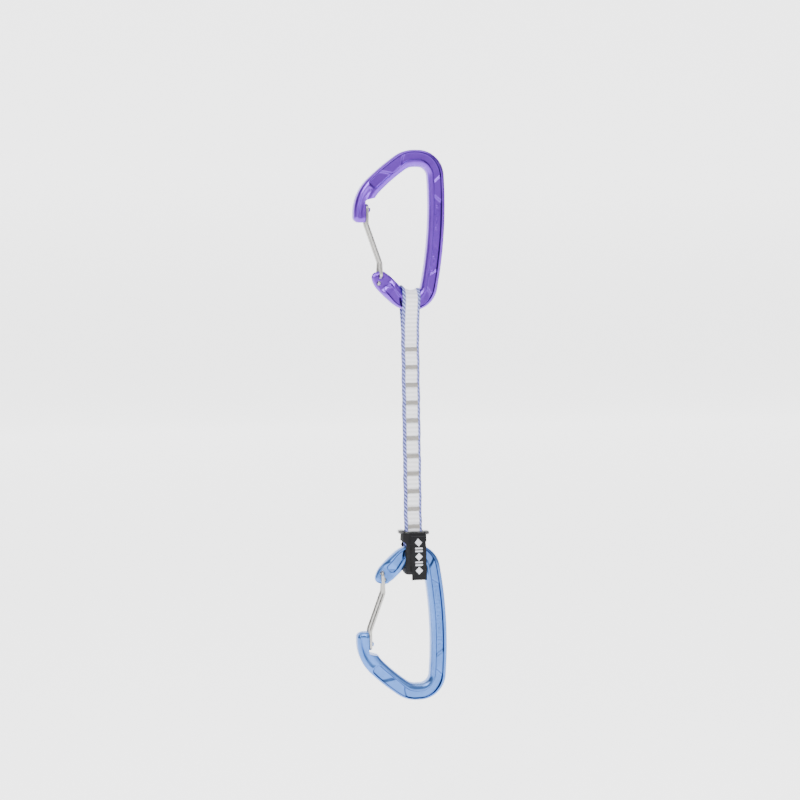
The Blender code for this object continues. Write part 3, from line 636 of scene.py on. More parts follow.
@dataclass
class ForgedRing:
    """The forged I-section body of a carabiner, with its hooded nose and tapered pivot end."""

    side: Side
    spine: tuple[float, float, float] = (10.3, 8.6, 2.6)
    bow: tuple[float, float, float] = (10.6, 9.6, 3.6)
    nose: tuple[float, float, float] = (10.9, 10.4, 3.4)
    arm_width: float = 11.6
    pivot: tuple[float, float, float] = (7.0, 4.6, 1.3)
    end_rounding: float = 2.6
    nose_rounding: float = 3.4
    pivot_recess: float = 10.4
    pocket_depth: float = 1.7
    wall: float = 0.55
    pad_rise: float = 0.85
    pad_half: float = 2.9
    pad_slant: float = 0.84
    pad_ramp: float = 1.7
    pocket_corner: float = 2.2
    flute_depth: float = 1.35
    voxel: float = 0.24
    wire_radius: float = 1.05
    fit: float = 0.3
    tongue: tuple[float, float, float] = (3.8, 3.5, 4.6)
    tongue_root: float = 1.5
    tongue_heel: float = 1.2
    tongue_tip: float = 2.0
    notch_setback: float = 3.7
    notch_rise: float = 8.2
    notch_reach: float = 12.0
    notch_slope: tuple[float, float] = (5.4, 1.2)
    notch_corner: float = 0.8
    crossbar_drop: float = 3.3
    crossbar_seat: float = 0.2
    hole_inset: float = 3.4
    hole_shift: float = -0.9
    hole_offset: tuple[float, float] = (-1.2, -4.2)
    tool_margin: float = 4.0
    tool_depth: float = 8.0
    pads: tuple[tuple[str, float], ...] = (("arm", 0.8), ("spine", 0.12), ("spine", 0.95), ("pivot_arm", 0.2))

    @property
    def nose_face(self) -> float:
        """x of the face that the closed gate rests against."""
        return float(PATH.offset(PATH.place("nose", 0.5), -self.nose[0] / 2)[0]) - self.notch_setback

    @property
    def notch_top(self) -> float:
        """z of the top of the gate's notch."""
        return float(PATH.at(PATH.place("nose_bend"))[1]) + self.notch_rise

    @property
    def crossbar(self) -> tuple[float, float]:
        """x and z of the gate's crossbar, closed."""
        x = self.nose_face + self.fit + self.wire_radius - self.crossbar_seat
        return x, self.notch_top - self.crossbar_drop

    @property
    def pivot_hole(self) -> tuple[float, float]:
        """x and z of the hole that the gate turns in."""
        x, z = PATH.offset(PATH.length - self.hole_inset, self.hole_shift)
        return float(x), float(z)

    @property
    def spring_hole(self) -> tuple[float, float]:
        """x and z of the offset hole of the gate's other leg."""
        x, z = self.pivot_hole
        return x + self.hole_offset[0], z + self.hole_offset[1]

    def sizes(self, s: np.ndarray) -> list[np.ndarray]:
        """Width, depth and rim rounding along the ring."""
        at = PATH.place
        step = PATH.length - self.pivot_recess
        return along(s, [
            (-4.0, *self.nose),
            (at("nose_bend", 0.6), *self.nose),
            (at("arm", 0.9), *self.bow),
            (at("shoulder", 0.3), *self.bow),
            (at("spine", 0.15), *self.spine),
            (at("spine", 0.85), *self.spine),
            (at("heel", 0.6), *self.bow),
            (at("basket", 0.6), *self.bow),
            (at("pivot_arm", 0.5), self.arm_width, *self.bow[1:]),
            (step - 4.4, self.arm_width, *self.bow[1:]),
            (step + 1.4, self.arm_width, *self.pivot[1:]),
            (PATH.length + 4.0, *self.pivot),
        ])

    def pocket_edges(self, s: np.ndarray) -> list[np.ndarray]:
        """Inner and outer edge of the pocket along the ring."""
        at = PATH.place
        return along(s, [
            (-4.0, -2.4, 4.0),
            (at("arm", 0.6), -2.5, 4.1),
            (at("seat"), -1.1, 4.1),
            (at("shoulder", 0.8), -2.2, 2.9),
            (at("heel"), -2.2, 2.9),
            (at("heel", 0.9), -0.7, 4.1),
            (at("basket", 0.5), -0.7, 4.2),
            (at("pivot_arm", 0.9), -2.9, 3.4),
            (PATH.length + 4.0, -3.2, 3.2),
        ])

    def pocket_inside(self, s: np.ndarray, n: np.ndarray) -> np.ndarray:
        """Distance inside the pocket's outline, negative outside it."""
        inner, outer = self.pocket_edges(s)
        start, end = PATH.place("nose_bend", 0.93), PATH.length - self.pivot_recess + 0.9
        endways = np.minimum(s - start, end - s)
        across = np.minimum(n - inner, outer - n)
        corner = self.pocket_corner - np.hypot(
            np.maximum(self.pocket_corner - endways, 0.0), np.maximum(self.pocket_corner - across, 0.0)
        )
        straight = np.minimum(endways, across)
        return np.where(straight < self.pocket_corner, corner, straight)

    def pad_share(self, s: np.ndarray, n: np.ndarray) -> np.ndarray:
        """1 on top of a raised pad, 0 on the pocket's floor."""
        inner = self.pocket_edges(s)[0]
        share = np.zeros_like(n)
        reach = self.pad_half + self.pad_slant * np.maximum(n - inner, 0.0)
        for pad in self.pads:
            share = np.maximum(share, 1.0 - ramp((np.abs(s - PATH.place(*pad)) - reach) / self.pad_ramp))
        return share

    def floor_drop(self, s: np.ndarray, n: np.ndarray, half_d: np.ndarray) -> np.ndarray:
        """Depth of the pocket's floor below the flank, with its raised pads."""
        drop = self.pocket_depth * (0.2 + 0.8 * ramp((half_d - 2.4) / 2.2))
        return drop - self.pad_rise * self.pad_share(s, n)

    def flute(self, s: np.ndarray, n: np.ndarray) -> np.ndarray:
        """Depth of the scoop that runs down the nose, deepest at its outer side."""
        course = np.clip((s - 0.2) / (PATH.place("nose_bend", 0.88) - 0.2), 0.0, 1.0)
        middle = 2.5 - 1.5 * course
        away = n - middle
        width = np.where(away > 0.0, 1.15, 1.75)
        fade = np.sin(math.pi * course ** 0.75) ** 0.6
        return self.flute_depth * fade * np.exp(-np.abs(away / width) ** 2.6)

    def flank(self, s: np.ndarray, n: np.ndarray, half_w: np.ndarray, half_d: np.ndarray,
              rim: np.ndarray) -> np.ndarray:
        """Half depth of the forging at places along and across it."""
        round_off = np.clip(np.abs(n) - (half_w - rim), 0.0, rim)
        skin = half_d - rim + np.sqrt(np.maximum(rim ** 2 - round_off ** 2, 0.0)) - self.flute(s, n)
        floor = half_d - self.floor_drop(s, n, half_d)
        inside = smoothstep(self.pocket_inside(s, n) / self.wall)
        return np.minimum(skin, skin + (floor - skin) * inside)

    def end_trim(self, s: np.ndarray) -> np.ndarray:
        """Shrink of the section at both ends, which makes them round."""
        size = np.where(s < PATH.length / 2, self.nose_rounding, self.end_rounding)
        reach = np.clip(np.minimum(s, PATH.length - s) / size, 0.0, 1.0)
        return size * (1.0 - np.sqrt(1.0 - (1.0 - reach) ** 2))

    def rough_mesh(self) -> tuple[np.ndarray, list]:
        """A dense loft of the section round the ring."""
        stations = np.unique(np.concatenate([
            np.arange(0.0, PATH.length, 0.3), PATH.length - np.array([0.0, 0.05, 0.15]), [0.05, 0.15]
        ]))
        width, depth, rim = self.sizes(stations)
        trim = self.end_trim(stations)
        half_w = width / 2 - trim
        half_d = depth / 2 - np.minimum(trim, 0.35 * depth)
        rim = np.minimum(rim, np.minimum(half_d, half_w) * 0.85)
        side = half_d - rim
        columns = [(half_w, 0.0 * side), (half_w, side * 0.5)]
        for share in np.sin(np.linspace(math.pi / 2, -math.pi / 2, 84)):
            columns.append((half_w * share, self.flank(stations, half_w * share, half_w, half_d, rim)))
        columns += [(-half_w, side * 0.5), (-half_w, 0.0 * side)]
        mirrored = [(n, -y) for n, y in columns[-2:0:-1]]
        verts = []
        for n, y in columns + mirrored:
            x, z = PATH.offset(stations, n)
            verts.append(np.stack([x, -y, z], axis=1))
        count = len(verts)
        points = np.stack(verts, axis=1).reshape(-1, 3)
        faces = grid_faces(len(stations), count, close_columns=True)
        faces.append(tuple(range(count)))
        faces.append(tuple(range(len(points) - count, len(points))))
        return points, faces

    def machine(self, body: bpy.types.Object) -> None:
        """Cut the gate's notch and holes, and add the tongue."""
        face, top, corner = self.nose_face, self.notch_top, self.notch_corner
        low = float(PATH.at(0.0)[1]) - self.tool_margin
        inner = face + self.notch_reach
        slope_x, roof = face + self.notch_slope[0], top + self.notch_slope[1]
        notch = [(face, low), (inner, low), (inner, roof), (slope_x, roof)]
        notch += [(face + corner, top), (face, top - corner)]
        cut(body, slab("notch", notch, self.tool_depth), "DIFFERENCE")
        depth, reach, height = self.tongue
        root, heel = face - self.tongue_root, face + self.tongue_heel
        upper = self.crossbar[1] - self.wire_radius - self.fit
        tongue = [(root, upper), (face + reach, upper), (face + reach, upper - self.tongue_tip)]
        tongue += [(heel, upper - height), (root, upper - height)]
        cut(body, slab("tongue", tongue, depth / 2), "UNION")
        for centre in (self.pivot_hole, self.spring_hole):
            turns = np.arange(40) * 2 * math.pi / 40
            radius = self.wire_radius + self.fit
            circle = [(centre[0] + radius * math.cos(t), centre[1] + radius * math.sin(t)) for t in turns]
            cut(body, slab("hole", circle, self.tool_depth), "DIFFERENCE")

    def masks(self, mesh: bpy.types.Mesh) -> None:
        """Store the painted shade at the foot of the pocket walls and on the pad ramps, and where rope and
        hanger rub the dye away.
        """
        points = points_of(mesh)
        picks = np.arange(0, len(PATH.s), 8)
        tree = KDTree(len(picks))
        for index, pick in enumerate(picks):
            tree.insert(Vector((PATH.x[pick], 0.0, PATH.z[pick])), index)
        tree.balance()
        nearest = np.array([tree.find(Vector((p[0], 0.0, p[2])))[1] for p in points])
        s = PATH.s[picks][nearest]
        x, z, heading = PATH.at(s)
        n = -(points[:, 0] - x) * np.sin(heading) + (points[:, 2] - z) * np.cos(heading)
        inside = self.pocket_inside(s, n)
        foot = np.exp(-(((inside - 0.55 * self.wall) / 0.36) ** 2))
        outer = ramp((n - 0.5) / 1.0)
        slope = 4.0 * self.pad_share(s, n) * (1.0 - self.pad_share(s, n)) * ramp(inside)
        flank = np.abs(points[:, 1]) > 1.5
        # Painted shade: strongest at the foot of the outer pocket wall, weaker at the inner one and on the
        # pad ramps, and only on the flanks.
        set_attribute(mesh, "painted_pocket_shade", np.maximum(foot * (0.6 + 0.4 * outer), 0.55 * slope) * flank)
        width = self.sizes(s)[0]
        rubbed = smoothstep((-n - 0.3 * width) / (0.18 * width))
        loaded = np.exp(-(((s - PATH.place("seat", 0.5)) / 13.0) ** 2))
        loaded += 0.6 * np.exp(-(((s - PATH.place("heel", 0.8)) / 12.0) ** 2))
        set_attribute(mesh, "wear", rubbed * (0.25 + 0.75 * loaded))

    def build(self) -> bpy.types.Object:
        """Build the body and store its masks.

        Returns:
            The finished body.
        """
        points, faces = self.rough_mesh()
        body = make_object(f"{self.side.value}_forged_body", points, faces)
        face_out(body)
        self.machine(body)
        remesh = body.modifiers.new("even", "REMESH")
        remesh.mode = "VOXEL"
        remesh.voxel_size = self.voxel * MM * 1.0
        remesh.use_smooth_shade = True
        soften = body.modifiers.new("soften", "SMOOTH")
        soften.factor = 0.5
        soften.iterations = 3
        apply_modifiers(body)
        self.masks(body.data)
        return body


@dataclass
class ForgedMarks:
    """A generic row of raised dots and bars on the pocket floor, with no letters."""

    ring: ForgedRing
    start: float = 19.0
    rise: float = 0.22
    sunk: float = 0.12

    def shapes(self) -> list[tuple[float, list[tuple[float, float]]]]:
        """Outlines of the marks, as (place along the spine, [(along, across), ...])."""

        def bar(length: float, width: float) -> list[tuple[float, float]]:
            """A straight bar."""
            half_l, half_w = length / 2, width / 2
            return [(-half_l, -half_w), (half_l, -half_w), (half_l, half_w), (-half_l, half_w)]

        def dot(radius: float) -> list[tuple[float, float]]:
            """A round dot."""
            turns = np.arange(14) * 2 * math.pi / 14
            return [(radius * math.cos(t), radius * math.sin(t)) for t in turns]

        marks = [(0.0, dot(1.0)), (3.0, bar(0.8, 3.0)), (5.0, bar(0.8, 3.0)), (7.6, dot(0.8))]
        marks += [(10.0, bar(2.4, 0.7)), (13.4, dot(1.0)), (16.2, bar(0.8, 3.0)), (18.4, bar(0.8, 1.8))]
        marks += [(20.6, bar(0.8, 3.0)), (23.6, dot(0.8)), (26.2, bar(0.8, 3.0)), (28.2, bar(0.8, 3.0))]
        marks += [(31.2, dot(1.0)), (34.0, bar(2.4, 0.7)), (37.0, bar(0.8, 3.0)), (39.6, dot(0.8))]
        return marks

    def build(self, material: bpy.types.Material) -> bpy.types.Object:
        """Build the marks of both flanks as one piece.

        Args:
            material: the body's material.

        Returns:
            The piece.
        """
        parts = []
        middle = 0.25
        half_d = np.array([self.ring.spine[1] / 2])
        mid_spine = np.array([PATH.place("spine", 0.5)])
        floor = float(half_d[0] - self.ring.floor_drop(mid_spine, np.array([middle]), half_d)[0])
        for flank in (-1, 1):
            for place, outline in self.shapes():
                s = PATH.place("spine") + self.start + place
                rings = []
                for level, shrink in ((-self.sunk, 1.0), (0.5 * self.rise, 1.0), (self.rise, 0.8)):
                    ring = []
                    for a, b in outline:
                        x, z = PATH.offset(s + a * shrink, middle + b * shrink)
                        ring.append((float(x), flank * (floor + level), float(z)))
                    rings.extend(ring)
                count = len(outline)
                faces = grid_faces(3, count, close_columns=True)
                faces += [tuple(reversed(range(count))), tuple(range(2 * count, 3 * count))]
                parts.append((np.array(rings), faces))
        verts, faces = joined(parts)
        marks = make_object(f"{self.ring.side.value}_forged_marks", verts, faces, material, smooth=False)
        face_out(marks)
        for name in ("painted_pocket_shade", "wear"):
            set_attribute(marks.data, name, np.zeros(len(marks.data.vertices)))
        return marks


def rounded_route(corners: list[Point], radii: list[float], steps: int = 10) -> np.ndarray:
    """Straight runs with an arc at each inner corner.

    Args:
        corners: the corners in millimetres, with both ends.
        radii: the arc's radius at each inner corner.
        steps: points in each arc.

    Returns:
        The route's points.
    """
    points = [np.array(corners[0], float)]
    for before, corner, after, radius in zip(corners, corners[1:], corners[2:], radii):
        corner = np.array(corner, float)
        inward, onward = np.array(before, float) - corner, np.array(after, float) - corner
        reach_in, reach_on = np.linalg.norm(inward), np.linalg.norm(onward)
        inward, onward = inward / reach_in, onward / reach_on
        half = math.acos(float(np.clip(inward.dot(onward), -1.0, 1.0))) / 2
        setback = min(radius / math.tan(half), 0.48 * reach_in, 0.48 * reach_on)
        size = setback * math.tan(half)
        middle = corner + (inward + onward) / np.linalg.norm(inward + onward) * size / math.sin(half)
        first, last = corner + inward * setback - middle, corner + onward * setback - middle
        turn = math.pi - 2 * half
        for k in range(steps + 1):
            t = k / steps
            spoke = (math.sin((1 - t) * turn) * first + math.sin(t * turn) * last) / math.sin(turn)
            points.append(middle + spoke)
    points.append(np.array(corners[-1], float))
    return np.array(points)


def resampled(route: np.ndarray, pitch: float) -> np.ndarray:
    """The same route with points at an even distance."""
    run = np.concatenate([[0.0], np.cumsum(np.linalg.norm(np.diff(route, axis=0), axis=1))])
    keep = np.concatenate([[True], np.diff(run) > 1e-6])
    even = np.linspace(0.0, run[-1], max(int(run[-1] / pitch), 2))
    return np.stack([np.interp(even, run[keep], route[keep, axis]) for axis in range(3)], axis=1)


@dataclass
class Placing:
    """Where a carabiner sits: the lower one is the upper one, turned upside down about X."""

    side: Side
    lower_x: float = 1.9
    lower_z: float = -320.52

    def points(self, points: np.ndarray) -> np.ndarray:
        """Move points from the ring's own place to the carabiner's."""
        points = np.asarray(points, float)
        if self.side is Side.UPPER:
            return points
        return points * (1.0, -1.0, -1.0) + (self.lower_x, 0.0, self.lower_z)

    def move(self, obj: bpy.types.Object) -> None:
        """Move a whole mesh in the same way."""
        mesh = obj.data
        mesh.vertices.foreach_set("co", (self.points(points_of(mesh)) * MM).astype(np.float32).ravel())
        mesh.update()

    def nodes(self, *names: str) -> list[str]:
        """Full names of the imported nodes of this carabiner."""
        return [f"{self.side.value}_{name}" for name in names]


@dataclass
class WireGate:
    """The gate: one bent wire whose two ends sit in offset holes, which is its own spring."""

    ring: ForgedRing
    spread: float = 7.4
    knee_share: float = 0.26
    foot_rise: float = 8.2
    foot_shift: float = 0.5

    def legs(self, y: float) -> list[Point]:
        """Corners of one leg, from the crossbar down to the pivot hole."""
        top_x, top_z = self.ring.crossbar
        foot_x, foot_z = self.ring.pivot_hole
        drop = top_z - foot_z
        return [
            (top_x, y, top_z),
            (top_x - 0.2, y, top_z - self.knee_share * drop),
            (foot_x - self.foot_shift, y, foot_z + self.foot_rise),
            (foot_x, y, foot_z),
        ]

    def build(self, material: bpy.types.Material) -> bpy.types.Object:
        """Build the wire in the ring's own place.

        Args:
            material: its material.

        Returns:
            The wire.
        """
        near, far = self.legs(-self.spread / 2), self.legs(self.spread / 2)
        deep = self.ring.pivot[1] / 2 + 0.12
        pivot_x, pivot_z = self.ring.pivot_hole
        spring_x, spring_z = self.ring.spring_hole
        corners = [(pivot_x, deep, pivot_z), *near[::-1], *far[:3]]
        corners += [(spring_x, self.spread / 2, spring_z), (spring_x, -deep, spring_z)]
        radii = [1.5, 4.0, 6.0, 2.1, 2.1, 6.0, 5.0, 1.5]
        route = resampled(rounded_route(corners, radii), 0.35)
        return tube(f"{self.ring.side.value}_gate_spring_wire", route, self.ring.wire_radius, 20, material)


@dataclass
class Carabiner:
    """One carabiner: the forged body, its marks and its gate, dressed; the body and its marks are attached to
    the carabiner's joint.
    """

    side: Side
    finish: AnodisedFinish
    slot: str

    def build(self, steel: bpy.types.Material) -> None:
        """Build and place every piece.

        Args:
            steel: the gate wire's material.
        """
        placing = Placing(self.side)
        ring = ForgedRing(self.side)
        anodised = self.finish.make()
        body_name, = placing.nodes("carabiner")

        body = ring.build()
        body.data.materials.clear()
        body.data.materials.append(anodised)
        placing.move(body)
        hand_over(body, self.slot, placing.nodes("carabiner_body"))
        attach(body, body_name)

        marks = ForgedMarks(ring).build(anodised)
        placing.move(marks)
        hand_over(marks, self.slot)
        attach(marks, body_name)

        wire = WireGate(ring).build(steel)
        placing.move(wire)
        hand_over(wire, "stainless_wire", placing.nodes("gate_wire", "gate_spring_end"))
        pivot, spring = ring.pivot_hole, ring.spring_hole
        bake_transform(wire)


# -------------------------------------------------------------------------------- the sling
def along_line(points: np.ndarray, count: int) -> np.ndarray:
    """Even points of a line in two dimensions."""
    run = np.concatenate([[0.0], np.cumsum(np.linalg.norm(np.diff(points, axis=0), axis=1))])
    even = np.linspace(0.0, run[-1], count)
    return np.stack([np.interp(even, run, points[:, axis]) for axis in range(2)], axis=1)


@dataclass
class SlingLine:
    """Where the sling runs: its middle line, its eyes round the bars and its bar tacks."""

    ring: ForgedRing
    thickness: float = 2.0
    width: float = 11.0
    ply_gap: float = 0.3
    grip: float = 0.25
    axis_to_axis: float = 155.7
    lean: float = 2.5
    upper_x: float = -3.6
    lower_x: float = 1.9
    upper_neck: float = 17.0
    lower_neck: float = 14.5
    sleeve_top: float = -225.41
    tack_clearance: float = 4.0
    tack_pitch: float = 11.0
    tack_count: int = 11
    upper_bend: tuple[float, float] = (3.0, 20.0)
    lower_bend: tuple[float, float] = (3.0, 15.5)

    def __post_init__(self) -> None:
        """Keep the height of the basket's bearing surface under each place."""
        self.axis_z = float(PATH.at(PATH.place("basket"))[1])
        places = np.linspace(PATH.place("heel", 0.2), PATH.place("pivot_arm", 0.8), 300)
        x, z = PATH.offset(places, -self.ring.sizes(places)[0] / 2)
        order = np.argsort(x)
        self.floor = x[order], (z - self.axis_z - self.ring.bow[0] / 2)[order]
        self.lower_axis_z = self.axis_z - self.axis_to_axis

    def lift(self, local_x: float) -> float:
        """Rise of the bar under one edge of the webbing."""
        return float(np.interp(local_x, *self.floor))

    def centre(self, z: np.ndarray | float) -> np.ndarray | float:
        """x of the middle line at a height."""
        return self.upper_x + self.lean * (self.axis_z - z) / self.axis_to_axis

    def tack_z(self, index: int) -> float:
        """z of a bar tack, counted from the top."""
        return self.sleeve_top + self.tack_clearance + (self.tack_count - 1 - index) * self.tack_pitch

    def strand(self, lift: float, neck: float, outward: float, steps: int) -> np.ndarray:
        """Half an eye as (depth, height): over the bar's rounded section and down to the neck."""
        bow_width, bow_depth, rim = self.ring.bow
        core_y, core_h = bow_depth / 2 - rim, lift + bow_width / 2 - rim
        radius = rim + self.grip + outward
        ply = self.ply_gap / 2 + outward
        gap_y, gap_h = ply - core_y, -neck - core_h
        distance = math.hypot(gap_y, gap_h)
        leave = math.atan2(gap_h, gap_y) + math.acos(min(radius / distance, 1.0))
        line = [(0.0, core_h + radius)]
        for turn in np.linspace(math.pi / 2, leave, 24):
            line.append((core_y + radius * math.cos(turn), core_h + radius * math.sin(turn)))
        line.append((ply, -neck))
        return along_line(np.array(line), steps)

    def bend_at_eye(self, piece: bpy.types.Object, side: Side) -> None:
        """Bake a piece's transform into its mesh; the span of the bend at its eye is worked out but not used.

        Args:
            piece: a finished piece round the eye.
            side: which end of the sling it is on.
        """
        if side is Side.UPPER:
            axis, toward, (near, far) = self.axis_z, -1.0, self.upper_bend
        else:
            axis, toward, (near, far) = self.lower_axis_z, 1.0, self.lower_bend
        start, end = (0.0, 0.0, (axis + toward * near) * MM), (0.0, 0.0, (axis + toward * far) * MM)
        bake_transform(piece)
        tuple(start)
        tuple(end)


@dataclass
class Webbing:
    """Half of the sling: both plies from the middle tack and the eye at one end."""

    line: SlingLine
    side: Side
    rib_pitch: float = 2.7
    rib_height: float = 0.16
    dash_pitch: float = 2.5
    border: float = 2.1
    pucker: float = 0.3

    def profile(self, across: float, outward: float) -> tuple[np.ndarray, np.ndarray]:
        """The half loop at one place across the width.

        Args:
            across: distance from the middle line.
            outward: distance from the webbing's inner face.

        Returns:
            (depth, z) points from the front ply's end to the back one's, and the run's length
            at each.
        """
        line = self.line
        eye_steps = 90
        pitch = 0.42
        join = line.tack_z(line.tack_count // 2)
        if self.side is Side.UPPER:
            axis, neck, sense = line.axis_z, line.upper_neck, 1.0
            lift = line.lift(line.upper_x + across)
        else:
            axis, neck, sense = line.lower_axis_z, line.lower_neck, -1.0
            lift = line.lift(line.upper_x + line.lean + across - line.lower_x)
        eye = line.strand(lift, neck, outward, eye_steps)
        straight = abs(join - axis) - neck
        count = int(straight / pitch)
        down = np.stack([
            np.full(count, line.ply_gap / 2 + outward), -neck - straight * np.arange(1, count + 1) / count
        ], axis=1)
        half = np.vstack([eye, down])
        half[:, 1] = axis + sense * half[:, 1]
        front = half[::-1] * (-1.0, 1.0)
        loop = np.vstack([front[:-1], half])
        walked = np.concatenate([[0.0], np.cumsum(np.linalg.norm(np.diff(loop, axis=0), axis=1))])
        return loop, sense * np.minimum(walked, walked[-1] - walked)

    def build(self, material: bpy.types.Material) -> bpy.types.Object:
        """Build the webbing with its ribs, its dashed borders and the pull of the tacks.

        Args:
            material: its material.

        Returns:
            The piece.
        """
        line = self.line
        half_width = line.width / 2
        spread = half_width * np.sin(np.linspace(-math.pi / 2, math.pi / 2, 41))
        bulge = line.thickness / 2 * (1.0 - (np.abs(spread) / half_width) ** 6) ** 0.5
        columns = [(u, line.thickness / 2 + b, 1.0) for u, b in zip(spread, bulge)]
        columns += [(u, line.thickness / 2 - b, 0.0) for u, b in zip(spread[-2:0:-1], bulge[-2:0:-1])]
        verts, painted_rib_shades, dashes, edges = [], [], [], []
        for u, outward, outer in columns:
            base, run = self.profile(u, outward)
            ribs = 0.5 + 0.5 * np.cos(2 * math.pi * run / self.rib_pitch)
            inset = half_width - abs(u)
            border = smoothstep((self.border - inset) / 0.35)
            slant = 1.1 * (inset if u < 0 else -inset)
            wave = np.cos(2 * math.pi * (run + slant) / self.dash_pitch)
            dash = smoothstep(0.5 + 1.6 * (wave + 0.3))
            height = outer * (border * 0.12 * wave + (1.0 - border) * self.rib_height * (ribs - 1.0))
            z = base[:, 1]
            pull = np.zeros(len(base))
            for index in range(line.tack_count):
                pull += np.exp(-(((z - line.tack_z(index)) / 2.0) ** 2))
            flat = np.abs(np.abs(base[:, 0]) - line.ply_gap / 2 - outward) < 0.4
            press = self.pucker * pull * flat * math.exp(-((u / 4.2) ** 4)) * outer
            normal = np.gradient(base, axis=0)
            normal = np.stack([normal[:, 1], -normal[:, 0]], axis=1)
            normal /= np.linalg.norm(normal, axis=1)[:, None]
            middle = len(base) // 2
            if normal[middle, 1] * (base[middle, 1] - z.mean()) < 0.0:
                normal = -normal
            base = base + normal * (height - press)[:, None]
            sway = 0.1 * np.sin(z * 0.31 + 1.3) + 0.06 * np.sin(z * 0.83)
            x = line.centre(z) + u * (1.0 - 0.02 * pull * flat) + sway * flat
            verts.append(np.stack([x, base[:, 0], base[:, 1]], axis=1))
            # Painted shade in the rib valleys, left off the dashed borders.
            painted_rib_shades.append((1.0 - ribs) * (1.0 - border))
            dashes.append(dash)
            edges.append(np.full(len(base), border))
        count = len(columns)
        rows = len(verts[0])
        points = np.stack(verts, axis=1).reshape(-1, 3)
        faces = grid_faces(rows, count, close_columns=True)
        faces += [tuple(range(count)), tuple(range((rows - 1) * count, rows * count))]
        piece = make_object(f"{self.side.value}_webbing", points, faces, material)
        face_out(piece)
        for name, values in (("painted_rib_shade", painted_rib_shades), ("dash", dashes), ("edge", edges)):
            set_attribute(piece.data, name, np.stack(values, axis=1).ravel())
        return piece


@dataclass
class BarTack:
    """A dense zigzag of thread on both faces of the webbing."""

    line: SlingLine
    width: float = 7.0
    height: float = 2.8
    strands: int = 23
    thread: float = 0.19
    sunk: float = 0.28
    edge_inset: float = 0.15
    edge_sunk: float = 0.2
    edge_share: float = 0.42
    edge_swell: float = 1.3
    sides: int = 7

    def build(self, index: int, material: bpy.types.Material) -> bpy.types.Object:
        """Build one tack.

        Args:
            index: its number, counted from the top.
            material: its material.

        Returns:
            The piece.
        """
        z = self.line.tack_z(index)
        x = float(self.line.centre(z))
        face = self.line.ply_gap / 2 + self.line.thickness
        wobble = np.sin(np.arange(self.strands + 1) * 2.7 + index)
        parts = []
        for side in (-1.0, 1.0):
            route = []
            for k in range(self.strands + 1):
                end = 1.0 if k % 2 else -1.0
                px = x + self.width * (k / self.strands - 0.5)
                next_px = x + self.width * ((k + 1) / self.strands - 0.5)
                reach = self.height / 2 * (1.0 + 0.05 * wobble[k])
                for share in (0.0, 0.12, 0.3, 0.5, 0.7, 0.88):
                    arch = math.sin(math.pi * (0.06 + 0.88 * share))
                    rise = self.thread * (0.4 + 1.5 * arch) - self.sunk
                    pz = z + end * reach * (1.0 - 2.0 * share)
                    route.append((px + (next_px - px) * share, side * (face + rise), pz))
            parts.append(tube_mesh(np.array(route), self.thread, self.sides))
            for end in (-1.0, 1.0):
                place = x + end * (self.width / 2 - self.edge_inset), side * (face - self.edge_sunk)
                reach = self.height * self.edge_share
                edge = np.linspace((*place, z - reach), (*place, z + reach), 5)
                parts.append(tube_mesh(edge, self.thread * self.edge_swell, self.sides))
        verts, faces = joined(parts)
        return make_object(f"zigzag_tack_{index + 1:02d}", verts, faces, material)


@dataclass
class Sling:
    """The sewn sling: both halves of the webbing and the bar tacks through them."""

    line: SlingLine

    def build(self) -> None:
        """Build the webbing and its tacks, and attach the tacks to the sling's joint."""
        material = WEBBING.make()
        for side in Side:
            half = Webbing(self.line, side).build(material)
            hand_over(half, "webbing", ["sling_webbing"])
            self.line.bend_at_eye(half, side)
        thread = TACK_THREAD.make()
        for index in range(self.line.tack_count):
            tack = BarTack(self.line).build(index, thread)
            hand_over(tack, "tack_thread", [f"bar_tack_{index + 1:02d}"])
            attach(tack, "sling")


